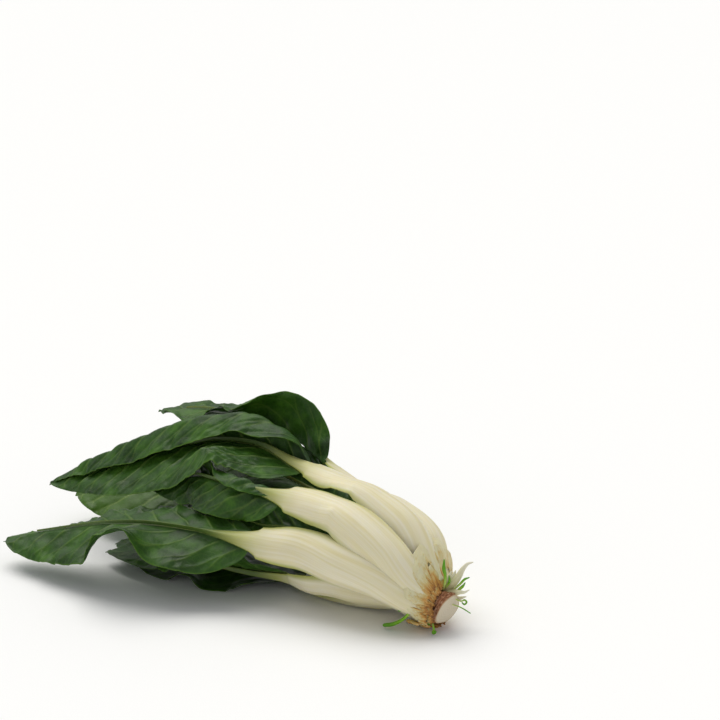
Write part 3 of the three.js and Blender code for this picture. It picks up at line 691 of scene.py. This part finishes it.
def riseOver(points):  # the least smooth rise that brings these points clear of the pile
    below = np.full_like(pile, np.inf)
    np.minimum.at(below, cellOf(points), points[:, 2])
    x = (np.arange(cellCount) - cellCount / 2) * cellMm
    with np.errstate(invalid="ignore"):
        need = pile + grown["clearMm"] - below
    need = np.where(np.isfinite(need) & (need > 0) & (x[None, :] < grown["throatEndMm"]), need, 0)
    rise = need.copy()
    for _ in range(60):
        around = (rise[1:-1, :-2] + rise[1:-1, 2:] + rise[:-2, 1:-1] + rise[2:, 1:-1]) / 4
        rise[1:-1, 1:-1] = np.maximum(need[1:-1, 1:-1], around)
    return rise


def readMap(values, x, y):
    fx = np.clip(x / cellMm + cellCount / 2, 1, cellCount - 2.001)
    fy = np.clip(y / cellMm + cellCount / 2, 1, cellCount - 2.001)
    ix, iy = np.floor(fx).astype(int), np.floor(fy).astype(int)
    fx, fy = fx - ix, fy - iy
    fx, fy = fx * fx * (3 - 2 * fx), fy * fy * (3 - 2 * fy)
    return readBetween(values, iy, ix, fy, fx)


def settle(grid, rise, least):  # lifts a grid by the rise and eases it so that nothing goes under the table
    flat = grid.reshape(-1, 3)
    z = flat[:, 2] + readMap(rise, flat[:, 0], flat[:, 1])
    z = least + 2.5 * np.logaddexp(0, (z - least) / 2.5)
    return np.column_stack([flat[:, :2], z]).reshape(grid.shape)


def finishPiece(obj, node):
    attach(obj, "root")
    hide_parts(node)


def roundEnds(rings, depthMm):  # five more rings at each end draw it in to a rounded point
    ends = []
    for end, near in ((0, 3), (-1, -4)):
        middle = rings[end].mean(0)
        outward = unit(middle - rings[near].mean(0))
        size = np.linalg.norm(rings[end] - middle, axis=1).max()
        ends.append([
            middle + (rings[end] - middle) * share + outward * min(depthMm, size) * math.sqrt(1 - share ** 2)
            for share in (0.01, 0.4, 0.68, 0.86, 0.96)
        ])
    return np.concatenate([ends[0], rings, ends[1][::-1]])


def growLeaf(name, own):
    leaf = {**usual, **own, "spine": spineOf(own)}
    rings, stalkMarks = stalkSurface(leaf)
    grid, vein, far, marks = bladeSurface(leaf)
    rise = riseOver(np.vstack([grid.reshape(-1, 3), rings.reshape(-1, 3)]))
    grid = settle(grid, rise, grown["lowestMm"])
    rings = settle(rings, rise, grown["stalkLowestMm"])
    laid = np.vstack([grid.reshape(-1, 3), rings.reshape(-1, 3)])
    np.maximum.at(pile, cellOf(laid), laid[:, 2])

    # the blade is a closed skin, thin at its margin, with the veins standing out on its outer side
    normals = gridNormals(grid)
    half = grown["bladeMm"] / 2 * (1 - 0.6 * smooth(far, 0.93, 1.0))
    inner = grid + normals * half[..., None]
    outer = grid - normals * (half + grown["veinHighMm"] * vein * (1 - 0.6 * far))[..., None]
    count = grid.shape[0] * grid.shape[1]
    faces = sheetFaces(*grid.shape[:2])
    points = np.vstack([inner.reshape(-1, 3), outer.reshape(-1, 3)])
    both = {k: np.concatenate([v.reshape(count, -1)] * 2).squeeze() for k, v in marks.items()}
    both["under"] = np.concatenate([np.zeros(count), np.ones(count)])
    blade = makeMesh(name + "_blade_skin", points, faces, [bladeSkin], both)
    finishPiece(blade, name + "_blade")

    rings = roundEnds(rings, grown["roundMm"])
    stalkMarks = {k: np.pad(v, [(5, 5)] + [(0, 0)] * (v.ndim - 1), "edge") for k, v in stalkMarks.items()}
    count = rings.shape[0] * rings.shape[1]
    stalkMarks = {k: v.reshape(count, -1).squeeze() for k, v in stalkMarks.items()}
    sides = gridFaces(*rings.shape[:2], around=True, flip=True)
    stalk = makeMesh(name + "_stalk_flesh", rings.reshape(-1, 3), sides, [stalkFlesh], stalkMarks)
    finishPiece(stalk, name + "_stalk")
    print(name, "grown,", len(faces), "faces, rise up to", round(float(rise.max()), 1), "mm")


# One dictionary for each leaf, lowest first. angle: where the stalk stands round the crown, from the back
# (0) over the top (90) to the front (180). spread: how far out it stands. run: its way from the throat to
# the tip in mm. bladeFrom: where along it the blade starts. face: the way its inner side looks. lift and
# curl: degrees by which each half leaves the midrib and then bends on.

bottomLeaf = {
    "angle": [270, 264], "spread": lowSpread, "stalk": outerStalk, "bladeFrom": 0.44, "seed": 11,
    "run": [[50, 20, 6], [0, 22, 6], [-60, 12, 7], [-120, 0, 7], [-180, -8, 6]],
    "halfWidth": [72, 60], "outline": [0.74, 0.6], "face": [[0, 0, 1], [0, 0, 1], [0, 0, 1]],
    "left": {"lift": [4, -6, -8, -6, 0], "curl": [10, 12, -12, 24, -10, 18, 0]},
    "right": {"lift": [4, -6, -6, -4, 0], "curl": [10, 20, -10, 20, -6, 16, 0]},
    "greenFrom": -0.6,
}
growLeaf("bottom_leaf", bottomLeaf)

lowerFrontLeaf = {
    "angle": [236, 220], "spread": lowSpread, "stalk": outerStalk, "bladeFrom": 0.42, "seed": 12,
    "run": [[60, -20, 26], [20, -28, 26], [-20, -36, 27], [-60, -40, 25], [-105, -45, 21], [-158, -52, 14]],
    "halfWidth": [33, 56], "outline": [0.76, 0.6], "face": [[0, 0.6, 0.8], [0, 0.2, 0.97], [0, 0, 1]],
    "left": {"lift": [2, 6, 10, -14, -22, 0], "curl": [4, 10, 14, -16, -14, 10, 0]},
    "right": {"lift": [20, 10, 4, 10, 0], "curl": [10, 16, -14, 20, -10, 12, 0]},
}
growLeaf("lower_front_leaf", lowerFrontLeaf)

backLeaf = {
    "angle": [312, 316], "spread": [0.9, 0.86, 0.9, 1, 1], "stalk": outerStalk, "bladeFrom": 0.4, "seed": 13,
    "run": [[50, 72, 30], [0, 88, 40], [-60, 86, 48], [-130, 66, 50], [-200, 46, 47], [-274, 32, 38]],
    "halfWidth": [62, 76], "outline": [0.8, 0.5], "face": [[0, -0.6, 0.75], [0, -0.3, 0.95], [0, -0.1, 1]],
    "left": {"lift": [14, 10, 0, -20, -24], "curl": [20, 24, 0, -8, -12]},
    "right": {"lift": [-6, -14, -22, -14, -8], "curl": [-20, -40, 0, -46, -6, -36, 0]},
    # pale here is painted light: the blade is drawn paler where light shines through this back leaf
    "pale": 0.85, "veinTone": 0.75,
}
growLeaf("back_leaf", backLeaf)

innerBackLeaf = {
    "angle": [352, 356], "spread": [0.7, 0.75, 0.84, 0.88, 0.9], "stalk": innerStalk, "bladeFrom": 0.38,
    "seed": 14,
    "run": [[50, 76, 66], [0, 90, 80], [-50, 92, 90], [-110, 84, 90], [-170, 66, 82]],
    "halfWidth": [48, 46], "outline": [0.72, 0.6], "face": [[0, -0.9, 0.4], [0, -0.6, 0.8], [0, -0.2, 1]],
    "left": {"lift": [20, 10, 4], "curl": [20, 16, -20, 16, 10]},
    "right": {"lift": [-10, -14, -10], "curl": [10, -34, 6, -34, 0]},
}
growLeaf("inner_back_leaf", innerBackLeaf)

heartLeaf = {
    "angle": [90, 90], "spread": [0.03, 0.03], "stalk": heartStalk, "bladeFrom": 0.42, "seed": 15,
    "run": [[60, 15, 62], [20, 16, 66], [-25, 14, 68], [-70, 12, 66]],
    "halfWidth": [24, 24], "outline": [0.72, 0.6], "face": [[0, 0.2, 1], [0, 0.1, 1], [0, 0, 1]],
    "left": {"lift": [30, 24, 14], "curl": [40, 10, 44, 10]},
    "right": {"lift": [30, 24, 14], "curl": [40, 44, 8, 10]},
    "rows": 110, "cells": 30, "pale": 0.6, "veinMm": 15.0,
}
growLeaf("heart_leaf", heartLeaf)

innerFrontLeaf = {
    "angle": [164, 152], "spread": [0.7, 0.72], "stalk": innerStalk, "bladeFrom": 0.2, "seed": 16,
    "run": [[62, -22, 78], [24, -20, 69], [-20, -12, 61], [-80, -4, 57], [-130, 4, 54]],
    "halfWidth": [30, 30], "outline": [0.6, 0.5],
    "face": [[0, 0.8, -0.5], [0, 0.7, -0.6], [0, 0.3, -0.9], [0, 0.1, -1]],
    "left": {"lift": [-10, -4, 0], "curl": [-10, 10, -16, 10, 0]},
    "right": {"lift": [14, 8, 10, 4, 4], "curl": [20, 6, 20, -10, 20, 0]},
    "veinMm": 16.0, "puckerMm": 1.4,
}
growLeaf("inner_front_leaf", innerFrontLeaf)

frontLeaf = {
    "angle": [184, 170], "spread": [0.95, 0.95, 0.97, 1.06, 1.14], "stalk": outerStalk, "bladeFrom": 0.39,
    "seed": 17,
    "run": [
        [66, -55, 71], [37, -60, 72], [8, -64, 73], [-26, -69, 73], [-73, -77, 71], [-125, -87, 64],
        [-190, -98, 47], [-252, -107, 28],
    ],
    "halfWidth": [40, 60], "outline": [0.8, 0.5], "face": [[0, 0.85, -0.5], [0, 0.25, -0.97], [0, 0.05, -1]],
    "left": {"lift": [30, 10, 2, 6, 4, 0], "curl": [30, 20, 10, 6, 30, 50]},
    "right": {"lift": [-20, -17, -20, -8, -22, -20, 4, 13, 20, 22, 10], "curl": [8, 22, -20, 30, 12, 4]},
    "rows": 260, "cells": 66, "ribTone": 0.12,
}
growLeaf("front_leaf", frontLeaf)

innerTopLeaf = {
    "angle": [60, 62], "spread": [0.6, 0.64], "stalk": innerStalk, "bladeFrom": 0.38, "seed": 18,
    "run": [[50, 36, 98], [0, 44, 102], [-60, 44, 98], [-120, 40, 88], [-180, 36, 74]],
    "halfWidth": [42, 42], "outline": [0.74, 0.66], "face": [[0, -0.3, -0.9], [0, -0.1, -1], [0, 0, -1]],
    "left": {"lift": [14, 20, 10], "curl": [20, 36, 0, 30, 0]},
    "right": {"lift": [14, 20, 10], "curl": [20, 0, 34, 6, 0]},
}
growLeaf("inner_top_leaf", innerTopLeaf)

upperFrontLeaf = {
    "angle": [150, 130], "spread": [1, 1, 1.04, 1.12, 1.12], "stalk": outerStalk, "bladeFrom": 0.46,
    "seed": 19,
    "run": [
        [66, -28, 112], [32, -34, 116], [2, -34, 116], [-30, -28, 112], [-66, -18, 106], [-105, -8, 98],
        [-150, 2, 88],
    ],
    "halfWidth": [26, 38], "outline": [0.62, 0.5], "face": [[0, 0.6, -0.75], [0, 0.3, -0.95], [0, 0.1, -1]],
    "left": {
        "lift": [-30, -40, -20, 0, 10], "curl": [-20, -20, 0, 24, 0],
        "fold": [-130, -130, -60, 0, 0], "foldAt": [0.36, 0.36, 0.5, 0.5],
    },
    "right": {"lift": [0, 8, 24, 20, 10], "curl": [10, 50, 10, 54, 10, 30]},
    "veinMm": 18.0, "crumpleMm": 2.6, "ribTone": 0.12,
}
growLeaf("upper_front_leaf", upperFrontLeaf)

upperBackLeaf = {
    "angle": [38, 38], "spread": [1, 1], "stalk": outerStalk, "bladeFrom": 0.44, "seed": 20,
    "run": [[70, 64, 106], [36, 75, 118], [-14, 88, 134], [-76, 98, 142], [-145, 102, 138], [-202, 98, 128]],
    "halfWidth": [60, 50], "outline": [0.68, 0.56],
    "face": [[0, -0.6, -0.7], [0, -0.3, -0.95], [0, -0.2, -0.97]],
    "left": {"lift": [0, -4, -10, -24, -10], "curl": [20, 30, -30, 20, -10]},
    "right": {"lift": [-76, -64, -10, 10, 6], "curl": [-10, -20, 0, 30, 0]},
    "ribTone": 0.2, "ruffleMm": 5.0, "crumpleMm": 2.6,
}
growLeaf("upper_back_leaf", upperBackLeaf)

topLeaf = {
    "angle": [88, 88], "spread": [1, 1], "stalk": outerStalk, "bladeFrom": 0.37, "seed": 21,
    "run": [
        [66, 27, 121], [30, 31, 127], [-11, 34, 134], [-60, 29, 131], [-112, 19, 119], [-165, 8, 102],
        [-220, 0, 82], [-276, -10, 58],
    ],
    "halfWidth": [72, 74], "outline": [0.62, 0.7], "face": [[0, 0.1, -1], [0, 0.12, -1], [0, 0.2, -1]],
    "left": {
        "lift": [-52, -60, -58, -55, -48, -40], "curl": [0, -10, -15, -15, -15, -10],
        "fold": [-90, -140, -150, -150, -150, -150], "foldAt": [0.58, 0.5, 0.42, 0.40, 0.38, 0.36],
    },
    "right": {"lift": [-4, 0, 12, 14, 10], "curl": [10, 16, 24, 20, 30]},
    "rows": 280, "cells": 72, "ruffleMm": 3.0, "ribTone": 0.12, "veinTone": 0.42,
}
growLeaf("top_leaf", topLeaf)


# ---- the crown

crown = {
    "rings": [
        [246, -4, 25.5, 16.5], [243, -3.6, 26, 17.2], [239, -2.4, 27, 16.6], [234, -0.6, 28.4, 14.2],
        [227, 0.4, 30, 10.5], [214, 2, 37, 8.5], [202, 5, 43, 6], [192, 7, 48, 3],
    ],
    "cutFacing": (-0.93, 0.16, 0.3), "around": 128, "rows": 90,
}


def growCrown():
    rings = np.array(crown["rings"], float)
    s = np.linspace(0, 1, crown["rows"])
    at = s * (len(rings) - 1)
    centre = np.stack([np.interp(at, np.arange(len(rings)), rings[:, k]) for k in range(3)], 1)
    radius = np.interp(at, np.arange(len(rings)), rings[:, 3])
    heading = unit(np.gradient(centre, axis=0))
    facing = unit(np.array(crown["cutFacing"]))
    heading = unit(heading + (facing - heading) * (1 - smooth(s, 0.0, 0.35))[:, None])
    across = unit(np.array([0, 1, 0]) - heading * heading[:, 1:2])
    up = np.cross(heading, across)
    a = np.linspace(0, 2 * math.pi, crown["around"], endpoint=False)[None, :]
    lumps = 0.05 * np.sin(3 * a + 4 * s[:, None]) + 0.03 * np.cos(5 * a - 9 * s[:, None])
    rough = 0.06 * softNoise(a * 9 / math.pi, s[:, None] * 30, 31)
    rough = rough + 0.035 * softNoise(a * 24 / math.pi, s[:, None] * 70, 32)
    wrinkle = -0.05 * np.maximum(0, np.sin(s[:, None] * 60 + 1.5 * np.sin(2 * a)))
    wrinkle = wrinkle * smooth(s[:, None], 0.04, 0.12)
    r = radius[:, None] * (1 + lumps + (rough + wrinkle) * smooth(s[:, None], 0.0, 0.05))
    grid = centre[:, None] + across[:, None] * (r * np.cos(a))[..., None]
    grid = grid + up[:, None] * (r * np.sin(a))[..., None]
    side = grid.reshape(-1, 3)
    faces = [gridFaces(crown["rows"], crown["around"], around=True)]
    kinds = [np.zeros(len(faces[0]))]
    # the cut face: rings of points from the rim to the middle, very slightly dished by the knife
    points, radial, start = [side], [np.ones(len(side))], len(side)
    shares = np.linspace(1, 0.02, 16)
    for share in shares:
        disc = centre[0] + (grid[0] - centre[0]) * share
        disc = disc + facing * (0.5 * (1 - share ** 2) - (0.35 if share < 1 else 0))
        points.append(disc)
        radial.append(np.full(len(disc), share))
    disc = gridFaces(len(shares), crown["around"], start, around=True, flip=True)
    faces.append(disc)
    kinds.append(np.ones(len(disc)))
    points = np.vstack(points)
    pale = np.zeros(len(points))
    pale[:len(side)] = np.repeat(smooth(s, 0.5, 0.75), crown["around"])
    marks = {"radial": np.concatenate(radial), "pale": pale}
    kinds = np.concatenate(kinds)
    obj = makeMesh("root_crown_rind", points, np.vstack(faces), [rootRind, rootCut], marks, kinds)
    finishPiece(obj, "root_crown")


growCrown()


# ---- small growths on the crown


def tube(line, sides=14, steps=10, flat=None):  # a round body along x, y, z and radius: grid, reach and girth
    line = np.array(line, float)
    place = np.linspace(0, len(line) - 1, (len(line) - 1) * steps + 1)
    i = np.clip(np.floor(place).astype(int), 0, len(line) - 2)
    w = (place - i)[:, None]
    padded = np.vstack([2 * line[0] - line[1], line, 2 * line[-1] - line[-2]])
    a, b, c, d = padded[i], padded[i + 1], padded[i + 2], padded[i + 3]
    squared, cubed = 2 * a - 5 * b + 4 * c - d, 3 * b - a - 3 * c + d
    curve = 0.5 * (2 * b + (c - a) * w + squared * w ** 2 + cubed * w ** 3)
    centre, radius = curve[:, :3], np.maximum(curve[:, 3], 0.15)
    share = np.linspace(0, 1, len(centre))
    heading = unit(np.gradient(centre, axis=0))
    across = unit(np.cross(heading, np.array([0.2, 0.1, 1.0])))
    up = np.cross(heading, across)
    angle = np.linspace(0, 2 * math.pi, sides, endpoint=False)[None, :]
    squash = np.ones(len(centre)) if flat is None else along(flat, share)
    grid = centre[:, None] + across[:, None] * (radius[:, None] * np.cos(angle))[..., None]
    grid = grid + up[:, None] * ((radius * squash)[:, None] * np.sin(angle))[..., None]
    length = np.concatenate([[0], np.cumsum(np.linalg.norm(np.diff(centre, axis=0), axis=1))])
    plane = np.stack(np.broadcast_arrays(length[:, None], radius[:, None] * angle, line[0, 0]), -1)
    share = np.pad(np.broadcast_to(share[:, None], grid.shape[:2]), [(5, 5), (0, 0)], "edge")
    return roundEnds(grid, 3.0), share, np.pad(plane, [(5, 5), (0, 0), (0, 0)], "edge")


def joinParts(name, node, material, parts):  # each part is its points, faces, reach and plane
    starts = np.cumsum([0] + [len(part[0]) for part in parts])
    faces = np.vstack([part[1] + start for part, start in zip(parts, starts)])
    points, _, reach, plane = [np.concatenate(values) for values in zip(*parts)]
    obj = makeMesh(name, points, faces, [material], {"reach": reach, "leafPlane": plane})
    finishPiece(obj, node)


def growTubes(name, node, slotName, material, lines, **options):
    parts = []
    for line in lines:
        grid, share, plane = tube(line, **options)
        faces = gridFaces(*grid.shape[:2], around=True)
        parts.append((grid.reshape(-1, 3), faces, share.ravel(), plane.reshape(-1, 3)))
    joinParts(name, node, material, parts)


hookShoot = {"lines": [
    [
        [213, -24, 33, 1.1], [207.4, -28, 37, 1.3], [200.8, -30.5, 39, 1.3], [196.2, -32, 43, 1.5],
        [194.2, -31.5, 46, 1.6], [195.5, -30, 48, 1.4],
    ],
]}
leafyShoot = {"lines": [
    [
        [218, -19, 29, 1.0], [216.7, -26, 24.8, 1.4], [209.5, -29, 15.8, 2.8], [198.4, -30, 8, 3.4],
        [188.4, -30, 4.4, 2.4],
    ],
    [[213, -23, 31.5, 0.9], [211.4, -28, 29, 1.4], [206.2, -30, 25, 2.2]],
]}
rootShoot = {"lines": [
    [
        [232, -13, 15, 1.2], [236, -16, 11.6, 1.0], [238, -17, 7.6, 1.0], [237.4, -17, 3.4, 1.8],
        [239.5, -17, 4.6, 1.6],
    ],
    [[230.2, -12, 15.4, 1.2], [231.5, -16, 11, 1.7]],
]}
topShoot = {"lines": [
    [[238, 0, 44, 1.0], [240.5, -1, 53, 1.4], [240, 0, 60, 1.5], [238.4, 0, 66, 1.9], [237.4, 2, 74.6, 0.8]],
    [[238, 4, 44, 1.0], [243, 3, 52, 1.2], [242, 4, 58, 0.6]],
    [[245, 7, 42, 1.0], [253, 8, 51, 1.2], [257, 9, 56, 1.2], [261.7, 10, 58.7, 0.6]],
    [[245, 7, 38, 1.0], [253.8, 8, 46.7, 1.6], [255.8, 9, 49.2, 1.2], [257.1, 10, 52, 0.6]],
    [
        [246, 4, 36, 0.8], [255.8, 4, 34.3, 0.8], [259.1, 6, 35.5, 0.9], [261.7, 6, 33.8, 0.9],
        [259.2, 6, 30.8, 0.9], [256.6, 6, 31.9, 0.7],
    ],
    [[247, 1, 30, 0.6], [255.2, 2, 28.9, 0.6], [260.5, 4, 26.4, 0.6], [266, 6, 23, 0.5]],
]}
paleStub = {"lines": [
    [
        [232, 8, 37, 6], [240, 9, 46, 5.4], [246, 9, 52, 4.2], [250, 10, 58.2, 3.4], [253, 12, 65, 2.5],
        [257.5, 14, 71, 1.6], [262, 16, 73, 0.7],
    ],
    [[240, 6, 38, 5], [248, 5, 41, 3.6], [254, 4, 43.3, 2.4], [259, 6, 43.8, 1.4], [263, 8, 46.4, 0.5]],
    [[236, 8, 42, 5], [239, 8, 52, 3.2], [241, 10, 60.7, 0.6]],
    [[238, 8, 42, 5], [243, 9, 54, 3.0], [246, 10, 62.4, 0.6]],
    [[240, 8, 42, 4], [247, 10, 54, 2.2], [250, 10, 61, 0.5]],
    [[238, 12, 32, 4], [246, 15, 31, 2.6], [254, 17, 34, 0.7]],
]}
growTubes("hook_shoot_skin", "hook_shoot", "shoot", greenShoot, hookShoot["lines"])
growTubes(
    "leafy_shoot_skin", "leafy_shoot", "shoot", greenShoot, leafyShoot["lines"],
    flat=[1, 1, 0.55, 0.6, 0.8],
)
growTubes("root_shoot_skin", "root_shoot", "shoot", greenShoot, rootShoot["lines"])
growTubes("top_shoot_skin", "top_shoot", "shoot", greenShoot, topShoot["lines"])
growTubes("pale_stub_skin", "pale_stub", "stalk", paleShoot, paleStub["lines"])

# Flakes of dried leaf base lie over the feet of the stalks and run down to the neck of the root.
collar = {
    "flakeHalfMm": 0.25, "lowestMm": 0.8,
    "x": [206, 214, 219, 225, 231, 235, 239, 244], "y": [3, 1.7, 1, 0.3, -0.4, -1, -2.4, -3.9],
    "z": [41, 36.5, 33.4, 30.5, 29, 28, 27, 25.7],
    "out": [  # how far out the skin lies at each x, every 30 degrees round from the back over the top
        [52, 57, 58, 56, 53, 46, 42, 34, 34, 37, 42, 41], [45, 51, 52, 51, 47, 41, 37, 29, 29, 31, 36, 35],
        [43, 51, 50.5, 50, 45.5, 41, 36, 29.5, 28, 30.5, 34, 33],
        [36, 42, 43.5, 42, 39, 35.5, 31, 27, 26, 28, 30, 29],
        [29, 31, 32, 32, 30.5, 28.5, 26.5, 24, 23.5, 24, 25, 26],
        [23, 24, 24.5, 24.5, 24, 23, 22, 21, 20.5, 20.5, 21, 22],
        [18.5, 19, 19, 19, 18.8, 18.5, 18.5, 18.3, 18.2, 18.2, 18.2, 18.4], [17.8] * 12,
    ],
}
# each flake: from and to round the neck in degrees, from and to along x in mm, how far its free end lifts,
# and how dry it is at its foot and at its free end
dryScales = {
    "dry_scale_front": {"flakes": [
        (20, 212, 213, 234, 0.4, 0, 0.5), (62, 118, 226, 240, 1.4, 0.3, 0.9),
        (108, 170, 222, 239, 2.2, 0.1, 0.9), (150, 204, 226, 240, 1.6, 0.4, 1),
        (176, 236, 219, 238, 2.6, 0.2, 0.8), (92, 160, 233, 242, 0.8, 0.5, 1),
        (150, 226, 232, 242, 1.0, 0.5, 1),
    ]},
    "dry_scale_under": {"flakes": [
        (200, 385, 213, 233, 0.4, 0, 0.5), (214, 264, 234, 207, 5.5, 0.5, 0.7),
        (236, 300, 222, 239, 1.8, 0.3, 1), (290, 350, 224, 239, 1.6, 0.2, 0.9),
        (340, 402, 222, 239, 1.6, 0.2, 0.9), (226, 330, 232, 242, 1.0, 0.5, 1),
    ]},
}


def collarOut(x, degrees):
    table = np.array(collar["out"], float)
    table = np.column_stack([table, table[:, 0]])
    i = np.interp(x, collar["x"], np.arange(len(collar["x"])))
    j = (degrees / 30) % 12
    i0, j0 = np.minimum(i.astype(int), len(table) - 2), j.astype(int)
    fi, fj = i - i0, j - j0
    fj = fj * fj * (3 - 2 * fj)
    return readBetween(table, i0, j0, fi, fj)


def growScale(node, seed):
    parts = []
    for low, high, fromX, toX, lift, footDry, endDry in dryScales[node]["flakes"]:
        rows, columns = 30, max(40, int((high - low) * 0.9))
        s, q = np.meshgrid(np.linspace(0, 1, rows), np.linspace(0, 1, columns), indexing="ij")
        wide = (high - low) / 8
        torn = 0.78 + 0.2 * softNoise(q * wide, 0.5, seed) + 0.13 * softNoise(q * wide * 3, 0.5, seed + 1)
        torn = torn * smooth(np.minimum(q, 1 - q), -0.06, 0.08)
        x = fromX + s * (toX - fromX) * torn
        degrees = low + (high - low) * q + 5 * s * softNoise(q * 4, s, seed + 3)
        buckle = 1.3 * softNoise(q * wide, s * 2, seed + 2) + 0.5 * softNoise(q * wide * 3, s * 4, seed + 4)
        r = collarOut(x, degrees) + lift * s ** 2 + buckle * smooth(s, 0.0, 0.3) + 0.4
        middleY, middleZ = np.interp(x, collar["x"], collar["y"]), np.interp(x, collar["x"], collar["z"])
        a = np.radians(degrees)
        z = collar["lowestMm"] + 1.2 * np.logaddexp(0, (middleZ + r * np.sin(a) - collar["lowestMm"]) / 1.2)
        grid = np.stack([x, middleY + r * np.cos(a), z], -1)
        thick = gridNormals(grid) * collar["flakeHalfMm"]
        points = np.vstack([(grid + thick).reshape(-1, 3), (grid - thick).reshape(-1, 3)])
        reach = (footDry + (endDry - footDry) * s).ravel()
        plane = np.stack([s * abs(toX - fromX), np.radians(high - low) * 25 * q, 0 * s + seed], -1)
        plane = plane.reshape(-1, 3)
        parts.append((points, sheetFaces(rows, columns), np.tile(reach, 2), np.tile(plane, (2, 1))))
        seed += 5
    joinParts(node + "_fibre", node, dryFibre, parts)


growScale("dry_scale_front", 41)
growScale("dry_scale_under", 61)
print("crown grown")
